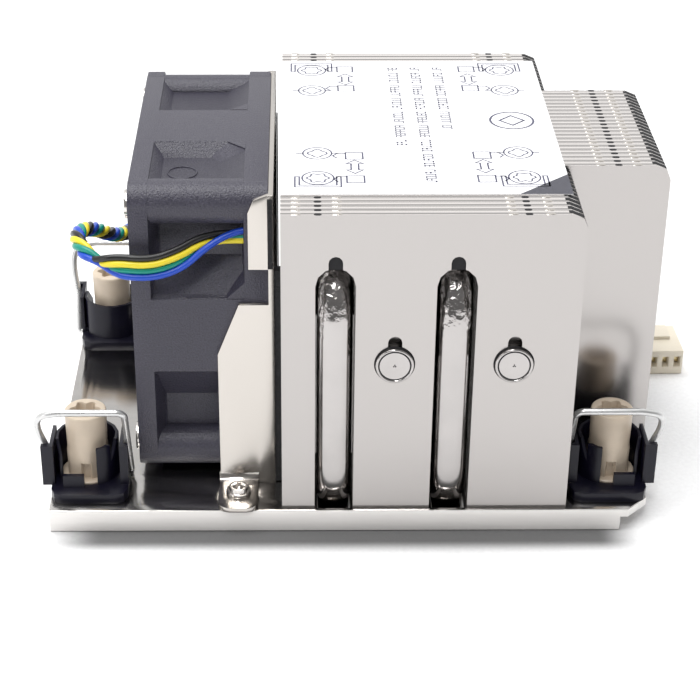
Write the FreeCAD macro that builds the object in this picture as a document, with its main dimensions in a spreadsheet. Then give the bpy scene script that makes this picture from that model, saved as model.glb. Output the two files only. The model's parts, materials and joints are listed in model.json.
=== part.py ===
import FreeCAD, Part
import math
import os

import Sketcher

# Server CPU cooler: base plate, stack of folded fins, four bent heat pipes, fan in its
# bracket, and at each corner a spring-less captive nut in a clip with a wire bail.
# Frame: X along the air flow, Y across it, Z up from the contact face of the plate.

SIZES = {
    # base plate
    "plate_length": 115.0,
    "plate_width": 81.3,
    "plate_thick": 4.75,
    "corner_cut": 4.2,
    "rebate_length": 5.5,
    "rebate_depth": 2.95,
    "groove_floor": 0.75,
    # fins
    "stack_height": 61.9,
    "stack_start": -12.9,
    "short_fin_length": 54.3,
    "long_fin_length": 72.5,
    "fin_pitch": 1.7556,
    "fin_thick": 0.4,
    "seam_gap": 0.12,
    "fin_corner": 3.0,
    # heat pipes
    "pipe_radius": 3.0,
    "pipe_fit": 0.01,
    "pipe_bend": 10.0,
    "pipe_first_x": -3.05,
    "pipe_step": 10.93,
    "pipe_inset": 0.1,
    "high_leg_z": 52.9,
    "low_leg_z": 36.4,
    "slot_margin": 0.65,
    "collar_radius": 3.5,
    "collar_reach": 0.45,
    "end_reach": 0.7,
    "notch_width": 2.6,
    "notch_rise": 2.3,
    # fan
    "fan_size": 60.0,
    "fan_depth": 25.4,
    "fan_front": -40.6,
    "fan_base_z": 7.0,
    "fan_corner": 4.0,
    "duct_radius": 28.3,
    "flange_front": 3.6,
    "flange_back": 4.4,
    "pocket_inner": 8.5,
    "pocket_outer": 26.0,
    "pocket_deep": 10.0,
    "pocket_shallow": 1.1,
    "hole_spacing": 50.0,
    "fan_hole_radius": 2.15,
    "motor_disc_radius": 15.0,
    "motor_disc_thick": 2.0,
    "strut_width": 3.0,
    "strut_depth": 3.3,
    "lead_radius": 1.5,
    "lead_hole_depth": 2.0,
    "lead_side": 27.6,
    "lead_rise": 20.0,
    # rotor
    "hub_radius": 14.5,
    "hub_length": 18.8,
    "hub_wall": 0.6,
    "hub_face": 1.5,
    "tip_radius": 27.8,
    "blade_thick": 1.0,
    "blade_sweep": 6.5,
    "cup_wall": 0.55,
    "magnet_wall": 1.4,
    "shaft_radius": 1.5,
    "shaft_fit": 0.05,
    "bearing_radius": 3.5,
    "bearing_width": 3.0,
    "tube_radius": 4.6,
    "stator_radius": 11.3,
    "stator_width": 8.0,
    "board_radius": 13.0,
    "board_thick": 1.0,
    # bracket
    "sheet": 1.0,
    "bracket_opening": 27.5,
    "bracket_top": 66.3,
    "upper_tab_width": 4.7,
    "upper_tab_bottom": 51.4,
    "tab_round": 3.5,
    "lower_tab_width": 10.7,
    "lower_tab_top": 44.1,
    "lower_tab_shoulder": 33.5,
    "lower_tab_step": 6.6,
    "foot_width": 7.6,
    "foot_reach": 10.4,
    "foot_round": 2.2,
    "foot_bend": 1.6,
    "foot_screw_reach": 4.8,
    "screw_radius": 1.25,
    "screw_head_radius": 2.4,
    "screw_head_height": 1.5,
    "screw_length": 3.5,
    "fan_screw_radius": 1.45,
    # corner hardware
    "nut_spacing_x": 101.4,
    "nut_spacing_y": 58.0,
    "plate_hole": 4.0,
    "nut_foot": 1.2,
    "spigot_radius": 3.6,
    "nut_seat_gap": 0.35,
    "nut_flange_radius": 5.2,
    "nut_flange_height": 1.9,
    "nut_radius": 4.15,
    "nut_top_radius": 3.95,
    "nut_top": 20.5,
    "nut_flats": 7.7,
    "nut_flat_top": 12.8,
    "nut_notch": 1.7,
    "nut_notch_rise": 3.6,
    "socket_radius": 2.5,
    "socket_depth": 5.0,
    "socket_lobe": 0.75,
    "thread_radius": 1.65,
    "thread_depth": 9.8,
    "clip_inner": 8.1,
    "clip_outer": 6.65,
    "clip_front": 9.2,
    "clip_back": 7.6,
    "clip_thick": 2.0,
    "clip_corner": 2.4,
    "cup_radius": 6.15,
    "cup_bore": 5.45,
    "cup_rise": 8.0,
    "post_rise": 8.5,
    "guide_wall": 0.7,
    "wire_radius": 0.6,
    "wire_fit": 0.08,
    "pivot_back": 1.0,
    "pivot_z": 6.1,
    "bail_reach": 19.56,
    "bail_tilt": 24.5,
    "outer_leg": 7.65,
    "inner_leg": 8.15,
    "stub_length": 1.75,
    # label
    "label_length": 52.5,
    "label_near": 31.5,
    "label_far": 35.0,
    "label_thick": 0.15,
    # lead connector
    "plug_width": 10.2,
    "plug_length": 11.6,
    "plug_height": 5.8,
    "plug_wall": 0.9,
    "contact_width": 1.2,
    "contact_pitch": 2.54,
    "contact_length": 8.0,
}

SHORT_FINS = 12
LONG_FINS = 22
BLADES = 9
BEND_PIECES = 4
ARCH_PIECES = 6
HUB_SIDES = 30
PIPE_SIDES = 16

doc = FreeCAD.newDocument("cpu_cooler")
sheet = doc.addObject("Spreadsheet::Sheet", "sizes")
for row, (alias, number) in enumerate(SIZES.items(), start=1):
    sheet.set(f"A{row}", alias)
    sheet.set(f"B{row}", str(number))
    sheet.setAlias(f"B{row}", alias)
doc.recompute()


class Size:
    """A length in mm: its number now, and the sheet expression that keeps it bound."""

    def __init__(self, number, text):
        self.number = number
        self.text = text

    def __add__(self, other):
        other = size(other)
        return Size(self.number + other.number, f"({self.text} + {other.text})")

    def __sub__(self, other):
        other = size(other)
        return Size(self.number - other.number, f"({self.text} - {other.text})")

    def __mul__(self, factor):
        other = size(factor)
        return Size(self.number * other.number, f"({self.text} * {other.text})")

    def __truediv__(self, divisor):
        other = size(divisor)
        return Size(self.number / other.number, f"({self.text} / {other.text})")

    def __neg__(self):
        return self * -1

    def __rsub__(self, other):
        return size(other) - self

    __radd__ = __add__
    __rmul__ = __mul__


def size(value):
    """A Size stays as it is, an alias is looked up, and a plain number becomes a constant."""
    if isinstance(value, Size):
        return value
    if isinstance(value, str):
        return Size(SIZES[value], f"sizes.{value}")
    return Size(float(value), f"({float(value)})")


def bind(thing, path, value):
    thing.setExpression(path, size(value).text)


NORMAL_SIGN = {"XY_Plane": 1, "XZ_Plane": -1, "YZ_Plane": 1}


def new_body(label):
    body = doc.addObject("PartDesign::Body", label)
    body.Label = label
    return body


def sketch_on(body, plane, level):
    """Empty sketch on the body's own origin plane, moved along that plane's axis to level."""
    sketch = body.newObject("Sketcher::SketchObject", "sketch")
    support = [item for item in body.Origin.OriginFeatures if item.Role == plane][0]
    sketch.AttachmentSupport = [(support, "")]
    sketch.MapMode = "FlatFace"
    offset = size(level) * NORMAL_SIGN[plane]
    bind(sketch, "AttachmentOffset.Base.z", offset)
    return sketch


def pin_point(sketch, geometry, vertex, point):
    """Hold one point of a sketch at sheet-driven coordinates."""
    for kind, value in zip(("DistanceX", "DistanceY"), point):
        value = size(value)
        number = sketch.addConstraint(Sketcher.Constraint(kind, -1, 1, geometry, vertex, value.number))
        sketch.setExpression(f"Constraints[{number}]", value.text)


def draw_polygon(sketch, points):
    spots = [FreeCAD.Vector(size(a).number, size(b).number, 0) for a, b in points]
    first = len(sketch.Geometry)
    count = len(spots)
    for index in range(count):
        sketch.addGeometry(Part.LineSegment(spots[index], spots[(index + 1) % count]), False)
    for index in range(count):
        after = first + (index + 1) % count
        sketch.addConstraint(Sketcher.Constraint("Coincident", first + index, 2, after, 1))
        pin_point(sketch, first + index, 1, points[index])


def draw_box(sketch, low, high):
    draw_polygon(sketch, [low, (high[0], low[1]), high, (low[0], high[1])])


def draw_circle(sketch, centre, radius):
    spot = FreeCAD.Vector(size(centre[0]).number, size(centre[1]).number, 0)
    radius = size(radius)
    circle = sketch.addGeometry(Part.Circle(spot, FreeCAD.Vector(0, 0, 1), radius.number), False)
    pin_point(sketch, circle, 3, centre)
    number = sketch.addConstraint(Sketcher.Constraint("Radius", circle, radius.number))
    sketch.setExpression(f"Constraints[{number}]", radius.text)


def ring_points(centre, radius, sides, turn=0.5):
    """Corners of a regular polygon; turn is in steps, so 0.5 puts a flat on the first axis."""
    points = []
    for step in range(sides):
        angle = 2 * math.pi * (step + turn) / sides
        point_a = size(centre[0]) + size(radius) * math.cos(angle)
        points.append((point_a, size(centre[1]) + size(radius) * math.sin(angle)))
    return points


def draw_ring(sketch, centre, radius, sides):
    draw_polygon(sketch, ring_points(centre, radius, sides))


def arc_points(centre, radius, start, stop, pieces):
    """Corners of an arc drawn as short flats, between two angles in degrees."""
    points = []
    for step in range(pieces + 1):
        angle = math.radians(start + (stop - start) * step / pieces)
        point_a = size(centre[0]) + size(radius) * math.cos(angle)
        points.append((point_a, size(centre[1]) + size(radius) * math.sin(angle)))
    return points


def draw_arch(sketch, middle, bottom, top, half_width):
    """Upright slot with a half-round top."""
    left = size(middle) - half_width
    right = size(middle) + half_width
    crown = arc_points((middle, size(top) - half_width), half_width, 0, 180, ARCH_PIECES)
    draw_polygon(sketch, [(left, bottom), (right, bottom)] + crown)


def extrude(body, kind, plane, start, stop, *shapes):
    """Pad or pocket from level start up to level stop; shapes are (draw function, arguments...)."""
    sketch = sketch_on(body, plane, start)
    for draw, *values in shapes:
        draw(sketch, *values)
    feature = body.newObject(f"PartDesign::{kind}", kind.lower())
    feature.Profile = sketch
    bind(feature, "Length", size(stop) - start)
    along_normal = kind == "Pad"
    upward = NORMAL_SIGN[plane] > 0
    feature.Reversed = along_normal != upward
    return feature


def pad(body, plane, start, stop, *shapes):
    return extrude(body, "Pad", plane, start, stop, *shapes)


def cut(body, plane, start, stop, *shapes):
    return extrude(body, "Pocket", plane, start, stop, *shapes)


def along(body, kind, originals, axis, number, amount):
    """Linear or polar pattern of features about one of the body's own axes."""
    pattern = body.newObject(f"PartDesign::{kind}", kind.lower())
    pattern.Originals = originals
    support = [item for item in body.Origin.OriginFeatures if item.Role == axis][0]
    if kind == "LinearPattern":
        pattern.Direction = (support, [""])
        bind(pattern, "Length", size(amount) * (number - 1))
    else:
        pattern.Axis = (support, [""])
        pattern.Angle = amount
    pattern.Occurrences = number
    body.Tip = pattern
    return pattern


def place(thing, x=0, y=0, z=0):
    for letter, value in (("x", x), ("y", y), ("z", z)):
        bind(thing, f"Placement.Base.{letter}", value)


def round_all(points_box, radius):
    """Corner points of a box with each corner cut by two flats, close to an arc of that radius."""
    low, high = points_box
    near = size(radius) * (1 - math.cos(math.radians(67.5)) / math.cos(math.radians(22.5)))
    far = size(radius)
    spots = []
    for right, top in ((1, 0), (1, 1), (0, 1), (0, 0)):
        x_edge = size(high[0] if right else low[0])
        y_edge = size(high[1] if top else low[1])
        x_in = -1 if right else 1
        y_in = -1 if top else 1
        bend = size(radius) * (1 - math.sqrt(0.5))
        first = (x_edge + far * x_in, y_edge)
        middle = (x_edge + bend * x_in, y_edge + bend * y_in)
        last = (x_edge, y_edge + far * y_in)
        turn = [first, middle, last] if right != top else [last, middle, first]
        spots += turn
    return spots


S = {alias: size(alias) for alias in SIZES}
fin_base = S["plate_thick"]
fin_top = fin_base + S["stack_height"]
half_stack = (S["fin_pitch"] * (2 * SHORT_FINS + LONG_FINS - 1) + S["fin_thick"]) / 2
pipe_run = half_stack - S["pipe_radius"] - S["pipe_inset"]
bend_start = pipe_run - S["pipe_bend"]
leg_z = S["groove_floor"] + (fin_base - S["groove_floor"]) / 2
fan_back = S["fan_front"] + S["fan_depth"]
fan_half = S["fan_size"] / 2
fan_centre_z = S["fan_base_z"] + fan_half
fan_top = S["fan_base_z"] + S["fan_size"]
hole_offset = S["hole_spacing"] / 2
nut_x = S["nut_spacing_x"] / 2
nut_y = S["nut_spacing_y"] / 2
foot_middle_x = fan_back - S["lower_tab_width"] + S["foot_width"] / 2 + 0.8
foot_screw_y = fan_half + S["sheet"] + S["foot_screw_reach"]
PIPES = [(index, 1 if index % 2 else -1) for index in range(4)]
CORNERS = {
    "near_left": (-1, -1),
    "near_right": (1, -1),
    "far_left": (-1, 1),
    "far_right": (1, 1),
}
nodes = []


def pipe_x(index):
    return S["pipe_first_x"] + S["pipe_step"] * index


def top_leg(side):
    """Pipes bent on the near side (-1) carry the high legs, the others the low ones."""
    return S["high_leg_z"] if side < 0 else S["low_leg_z"]


def ordered(low, high):
    return (low, high) if size(low).number <= size(high).number else (high, low)


# ---------------------------------------------------------------- base plate
def make_base_plate():
    body = new_body("base_plate")
    half_x = S["plate_length"] / 2
    half_y = S["plate_width"] / 2
    chamfered = [
        (-half_x, -half_y),
        (half_x - S["corner_cut"], -half_y),
        (half_x, S["corner_cut"] - half_y),
        (half_x, half_y),
        (-half_x, half_y),
    ]
    pad(body, "XY_Plane", 0, fin_base, (draw_polygon, chamfered))
    rebate_low = (half_x - S["rebate_length"], -half_y - 1)
    cut(body, "XY_Plane", 0, S["rebate_depth"], (draw_box, rebate_low, (half_x + 1, half_y + 1)))
    for index, side in PIPES:
        half_groove = S["pipe_radius"] + S["pipe_fit"]
        ends = ordered((pipe_run + S["pipe_radius"] + 0.1) * side, (pipe_run + 0.1) * -side)
        low = (pipe_x(index) - half_groove, ends[0])
        high = (pipe_x(index) + half_groove, ends[1])
        cut(body, "XY_Plane", S["groove_floor"], fin_base, (draw_box, low, high))
    holes = [(draw_ring, (nut_x * a, nut_y * b), S["plate_hole"], 16) for a, b in CORNERS.values()]
    cut(body, "XY_Plane", 0, fin_base, *holes)
    screw_holes = [(draw_ring, (foot_middle_x, foot_screw_y * b), S["screw_radius"], 8) for b in (-1, 1)]
    cut(body, "XY_Plane", fin_base - S["screw_length"], fin_base, *screw_holes)
    nodes.append(body)


# ---------------------------------------------------------------- fins
def fin_outline(length):
    """Side view of one fin, with its upper outlet corner cut in two flats."""
    end = S["stack_start"] + length
    bend = S["fin_corner"] * (1 - math.sqrt(0.5))
    return [
        (S["stack_start"], fin_base),
        (end, fin_base),
        (end, fin_top - S["fin_corner"]),
        (end - bend, fin_top - bend),
        (end - S["fin_corner"], fin_top),
        (S["stack_start"], fin_top),
    ]


def top_fold(length):
    """Folded strip that closes the gap above a fin and curls over its outlet corner."""
    end = S["stack_start"] + length
    bend = S["fin_corner"] * (1 - math.sqrt(0.5))
    thick = S["fin_thick"]
    return [
        (S["stack_start"], fin_top - thick),
        (end - S["fin_corner"] - thick * 0.41, fin_top - thick),
        (end - bend - thick * 0.71, fin_top - bend - thick * 0.71),
        (end - bend, fin_top - bend),
        (end - S["fin_corner"], fin_top),
        (S["stack_start"], fin_top),
    ]


def make_fin_bank(label, first, count, length, fold_side, folds):
    """A run of fins joined by the sleeves round the pipes; fold_side is where the folds point."""
    body = new_body(label)
    thick = S["fin_thick"]
    bank_start = S["fin_pitch"] * first - half_stack
    bank_stop = bank_start + S["fin_pitch"] * (count - 1) + thick
    fold_length = S["fin_pitch"] - thick - S["seam_gap"]
    fold_from = bank_start + thick if fold_side > 0 else bank_start - fold_length
    floor_box = (S["stack_start"], fin_base), (S["stack_start"] + length, fin_base + thick)
    web = pad(body, "XZ_Plane", bank_start, bank_start + thick, (draw_polygon, fin_outline(length)))
    fold = pad(body, "XZ_Plane", fold_from, fold_from + fold_length, (draw_polygon, top_fold(length)))
    along(body, "LinearPattern", [web, fold], "Y_Axis", folds, S["fin_pitch"])
    if count > folds:
        pad(body, "XZ_Plane", bank_stop - thick, bank_stop, (draw_polygon, fin_outline(length)))
    pad(body, "XZ_Plane", bank_start, bank_stop, (draw_box, *floor_box))
    for side in (-1, 1):
        cut_passages(body, side, bank_start, bank_stop)
    for feature in body.Group:
        if hasattr(feature, "Refine"):
            feature.Refine = False
    nodes.append(body)


def pipes_on(side):
    return [pipe_x(index) for index, bent_side in PIPES if bent_side == side]


def same(first, second):
    return abs(size(first).number - size(second).number) < 0.01


def leg_span(side, bank_start, bank_stop):
    """Where the straight upper legs run in a bank: all of it, or from the pipes' bend on."""
    bend_y = bend_start * side
    if side < 0 and bank_start.number < bend_y.number:
        return bend_y, bank_stop
    if side > 0 and bank_stop.number > bend_y.number:
        return bank_start, bend_y
    return bank_start, bank_stop


def cut_passages(body, side, bank_start, bank_stop):
    """Openings for the upper legs, and on the bent side the slots that clear the bends."""
    level = top_leg(side)
    thick = S["fin_thick"]
    leg_low, leg_high = leg_span(side, bank_start, bank_stop)
    closed = bank_start if side > 0 else bank_stop
    if same(closed, half_stack * -side):
        skin = ordered(closed, closed + thick * side)
        rim = ordered(closed, closed - S["collar_reach"] * side)
        ends = [(middle, level) for middle in pipes_on(side)]
        pad(body, "XZ_Plane", *rim, *[(draw_ring, end, S["collar_radius"], 24) for end in ends])
        bore = S["pipe_radius"] + S["pipe_fit"]
        rings = [(draw_ring, end, bore, PIPE_SIDES) for end in ends]
        cut(body, "XZ_Plane", *ordered(closed + thick * side, closed - S["collar_reach"] * side), *rings)
        cut(body, "XZ_Plane", *skin, *solder_notches(side, level + S["collar_radius"]))
        leg_low = leg_low + thick if side > 0 else leg_low
        leg_high = leg_high - thick if side < 0 else leg_high
    half_hole = S["pipe_radius"] * math.cos(math.pi / PIPE_SIDES) + S["pipe_fit"]
    holes = []
    for middle in pipes_on(side):
        low = (middle - half_hole, level - half_hole)
        holes.append((draw_box, low, (middle + half_hole, level + half_hole)))
    cut(body, "XZ_Plane", leg_low, leg_high, *holes)
    bent = bank_stop if side > 0 else bank_start
    if not same(bent, half_stack * side):
        return
    half_slot = S["pipe_radius"] + S["slot_margin"]
    slot_top = level + S["pipe_radius"] + 0.2
    inner_face = (pipe_run - S["pipe_radius"] - 0.25) * side
    deep = []
    windows = []
    for middle in pipes_on(side):
        left = middle - half_slot
        right = middle + half_slot
        deep.append((draw_arch, middle, fin_base - 1, slot_top, half_slot))
        windows.append((draw_box, (left, fin_base - 1), (right, leg_z + S["pipe_bend"])))
        windows.append((draw_box, (left, level - S["pipe_bend"]), (right, slot_top)))
    cut(body, "XZ_Plane", *ordered(bent + side, inner_face), *deep)
    cut(body, "XZ_Plane", *ordered(inner_face, bend_start * side), *windows)
    cut(body, "XZ_Plane", *ordered(bent, bent - thick * side), *solder_notches(side, slot_top))


def solder_notches(side, bottom):
    """Small round-topped notches above the pipes, where the solder paste goes in."""
    half = S["notch_width"] / 2
    top = bottom + S["notch_rise"]
    return [(draw_arch, middle, bottom - 1.0, top, half) for middle in pipes_on(side)]


# ---------------------------------------------------------------- heat pipes
def make_heat_pipe(index, side):
    """C-shaped pipe: flattened lower leg in the plate, bends with creased sides, upper leg."""
    body = new_body(f"heat_pipe_{index + 1}")
    top = top_leg(side)
    far_end = pipe_run * -side
    top_end = (half_stack + S["end_reach"]) * -side
    turn = 90.0 / BEND_PIECES
    stretch = 1 / math.cos(math.radians(turn / 2))
    points = [(far_end, leg_z)]
    for centre_z, start_angle in ((leg_z + S["pipe_bend"], -90.0), (top - S["pipe_bend"], 0.0)):
        for piece in range(BEND_PIECES):
            angle = math.radians(start_angle + turn * (piece + 0.5))
            reach = bend_start + S["pipe_bend"] * (math.cos(angle) * stretch)
            points.append((reach * side, centre_z + S["pipe_bend"] * (math.sin(angle) * stretch)))
    points.append((top_end, top))
    path = sketch_on(body, "YZ_Plane", 0)
    spots = [FreeCAD.Vector(a.number, b.number, 0) for a, b in points]
    for start, stop in zip(spots, spots[1:]):
        path.addGeometry(Part.LineSegment(start, stop), False)
    for number in range(len(spots) - 1):
        pin_point(path, number, 1, points[number])
        if number:
            path.addConstraint(Sketcher.Constraint("Coincident", number - 1, 2, number, 1))
    pin_point(path, len(spots) - 2, 2, points[-1])
    profile = sketch_on(body, "XZ_Plane", far_end)
    draw_ring(profile, (0, leg_z), S["pipe_radius"], PIPE_SIDES)
    doc.recompute()
    pipe = body.newObject("PartDesign::AdditivePipe", "pipe")
    pipe.Profile = profile
    pipe.Spine = (path, [f"Edge{number + 1}" for number in range(len(spots) - 1)])
    pipe.Transition = "Right corner"
    half = S["pipe_radius"] + 1
    wide = ordered(far_end - 1.0 * side, (pipe_run + 5.0) * side)
    flat = ordered(far_end - 1.0 * side, bend_start * side)
    cut(body, "XY_Plane", -2, S["groove_floor"], (draw_box, (-half, wide[0]), (half, wide[1])))
    cut(body, "XY_Plane", fin_base, fin_base + 2.5, (draw_box, (-half, flat[0]), (half, flat[1])))
    place(body, x=pipe_x(index))
    nodes.append(body)


# ---------------------------------------------------------------- fan
def make_fan_frame():
    body = new_body("fan_frame")
    low = (-fan_half, S["fan_base_z"])
    high = (fan_half, fan_top)
    pad(body, "YZ_Plane", S["fan_front"], fan_back, (draw_polygon, round_all((low, high), S["fan_corner"])))
    centre = (0, fan_centre_z)
    cut(body, "YZ_Plane", S["fan_front"] - 1, fan_back + 1, (draw_ring, centre, S["duct_radius"], 48))
    pockets_from = S["fan_front"] + S["flange_front"]
    pockets_to = fan_back - S["flange_back"]
    for turn in range(4):
        for hand in (-1, 1):
            local = [
                (fan_half + 1, (S["pocket_inner"] - 1.6) * hand),
                (fan_half + 1, S["pocket_outer"] * hand),
                (fan_half - S["pocket_deep"], S["pocket_outer"] * hand),
                (fan_half - S["pocket_shallow"], S["pocket_inner"] * hand),
            ]
            points = [quarter_turn(a, b, turn) for a, b in local]
            cut(body, "YZ_Plane", pockets_from, pockets_to, (draw_polygon, points))
    posts = []
    holes = []
    post_offset = fan_half - S["fan_corner"]
    for a, b in CORNERS.values():
        post = (post_offset * a, fan_centre_z + post_offset * b)
        posts.append((draw_ring, post, S["fan_corner"], 16))
        hole = (hole_offset * a, fan_centre_z + hole_offset * b)
        holes.append((draw_ring, hole, S["fan_hole_radius"], 8))
    pad(body, "YZ_Plane", pockets_from - 0.2, pockets_to + 0.2, *posts)
    cut(body, "YZ_Plane", S["fan_front"] - 1, fan_back + 1, *holes)
    disc_from = fan_back - S["motor_disc_thick"]
    pad(body, "YZ_Plane", disc_from, fan_back, (draw_ring, centre, S["motor_disc_radius"], HUB_SIDES))
    reach = S["duct_radius"] + 0.4
    half_strut = S["strut_width"] / 2
    upright = [(-half_strut, fan_centre_z - reach), (half_strut, fan_centre_z + reach)]
    level = [(-reach, fan_centre_z - half_strut), (reach, fan_centre_z + half_strut)]
    for bar in (upright, level):
        pad(body, "YZ_Plane", fan_back - S["strut_depth"], fan_back, (draw_box, *bar))
    pad(body, "YZ_Plane", tube_start, disc_from, (draw_ring, centre, S["tube_radius"], 16))
    seat = S["bearing_radius"] + 0.02
    cut(body, "YZ_Plane", tube_start - 1, fan_back - 0.8, (draw_ring, centre, seat, 16))
    exit_x = pockets_to
    lead_spot = (-S["lead_side"], fan_centre_z + S["lead_rise"])
    cut(body, "YZ_Plane", exit_x - 1, exit_x + S["lead_hole_depth"],
        (draw_ring, lead_spot, S["lead_radius"] + 0.15, 12))
    nodes.append(body)


def quarter_turn(outward, sideways, turn):
    """A point given by its distance out of one side of the fan, in the YZ plane."""
    outward = size(outward)
    sideways = size(sideways)
    spots = [(outward, sideways), (-sideways, outward), (-outward, -sideways), (sideways, -outward)]
    across, up = spots[turn]
    return across, fan_centre_z + up


hub_front = S["fan_front"] + 1.9
hub_back = hub_front + S["hub_length"]
tube_start = hub_front + S["hub_face"] + 2.2


def make_impeller():
    body = new_body("fan_impeller")
    centre = (0, fan_centre_z)
    pad(body, "YZ_Plane", hub_front, hub_back, (draw_ring, centre, S["hub_radius"], HUB_SIDES))
    cavity = S["hub_radius"] - S["hub_wall"]
    middle_x = (hub_front + hub_back) / 2
    sweep = S["blade_sweep"]
    half = S["blade_thick"] / 2
    section = [
        (hub_front + 0.4, sweep),
        (middle_x - 2, sweep * 0.42 + half),
        (hub_back - 0.6, half - sweep),
        (hub_back - 0.6, -sweep),
        (middle_x - 2, sweep * 0.42 - half),
        (hub_front + 0.4, sweep - half),
    ]
    level = fan_centre_z + cavity
    tip = fan_centre_z + S["tip_radius"] * 0.97
    blade = pad(body, "XY_Plane", level, tip, (draw_polygon, section))
    spin_pattern(body, blade, BLADES)
    cut(body, "YZ_Plane", hub_front + S["hub_face"], hub_back + 1, (draw_ring, centre, cavity, HUB_SIDES))
    pad(body, "YZ_Plane", hub_front + 0.3, hub_front + S["hub_face"] + 1.6, (draw_ring, centre, 3.2, 16))
    cut(body, "YZ_Plane", hub_front + 0.6, hub_back + 1, (draw_circle, centre, S["shaft_radius"]))
    nodes.append(body)


def spin_pattern(body, feature, number):
    """Copies round the fan's axis, held by a sketch line through its centre."""
    axis = sketch_on(body, "XZ_Plane", 0)
    ends = [(hub_front, fan_centre_z), (hub_back, fan_centre_z)]
    spots = [FreeCAD.Vector(a.number, b.number, 0) for a, b in ends]
    axis.addGeometry(Part.LineSegment(*spots), False)
    pin_point(axis, 0, 1, ends[0])
    pin_point(axis, 0, 2, ends[1])
    doc.recompute()
    pattern = body.newObject("PartDesign::PolarPattern", "blades")
    pattern.Originals = [feature]
    pattern.Axis = (axis, ["Edge1"])
    pattern.Angle = 360
    pattern.Occurrences = number
    body.Tip = pattern


def ring_on_axis(label, start, stop, outer, inner, sides):
    """Many-sided ring on the fan's axis."""
    body = new_body(label)
    centre = (0, fan_centre_z)
    pad(body, "YZ_Plane", start, stop, (draw_ring, centre, outer, sides), (draw_ring, centre, inner, sides))
    nodes.append(body)


def make_stator():
    """Laminated core with four flared poles round the bearing tube."""
    body = new_body("stator_core")
    middle = (tube_start + fan_back) / 2 - 1.0
    half = S["stator_width"] / 2
    root = S["tube_radius"] + 1.6
    outer = S["stator_radius"]
    points = []
    for pole in range(4):
        angle = math.pi / 2 * pole
        local = [
            (root, -1.7),
            (outer - 1.6, -1.7),
            (outer - 1.6, -5.2),
            (outer - 0.4, -3.6),
            (outer - 0.4, 3.6),
            (outer - 1.6, 5.2),
            (outer - 1.6, 1.7),
            (root, 1.7),
        ]
        for out, side in local:
            out = size(out)
            across = out * math.cos(angle) - size(side) * math.sin(angle)
            points.append((across, fan_centre_z + out * math.sin(angle) + size(side) * math.cos(angle)))
    bore = S["tube_radius"] + 0.02
    pad(body, "YZ_Plane", middle - half, middle + half, (draw_polygon, points),
        (draw_ring, (0, fan_centre_z), bore, 16))
    nodes.append(body)


def make_fan_inside():
    inner = S["hub_radius"] - S["hub_wall"]
    cup_in = inner - S["cup_wall"]
    cup_front = hub_front + S["hub_face"]
    ring_on_axis("rotor_cup", cup_front + 0.1, hub_back - 0.8, inner - 0.02, cup_in, HUB_SIDES)
    magnet_in = cup_in - S["magnet_wall"]
    ring_on_axis("rotor_magnet", cup_front + 0.6, hub_back - 1.4, cup_in - 0.02, magnet_in, HUB_SIDES)
    centre = (0, fan_centre_z)
    shaft = new_body("fan_shaft")
    pad(shaft, "YZ_Plane", hub_front + 0.6, fan_back - 1.3, (draw_circle, centre, S["shaft_radius"]))
    nodes.append(shaft)
    width = S["bearing_width"]
    bore = S["shaft_radius"] + S["shaft_fit"]
    for label, start in (("front", tube_start + 0.4), ("rear", fan_back - width - 1.6)):
        bearing = new_body(f"bearing_{label}")
        rings = (draw_ring, centre, S["bearing_radius"], 16), (draw_circle, centre, bore)
        pad(bearing, "YZ_Plane", start, start + width, *rings)
        nodes.append(bearing)
    make_stator()
    board_to = fan_back - S["strut_depth"]
    board_bore = S["tube_radius"] + 0.02
    ring_on_axis("fan_board", board_to - S["board_thick"], board_to, S["board_radius"], board_bore, 16)


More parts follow.
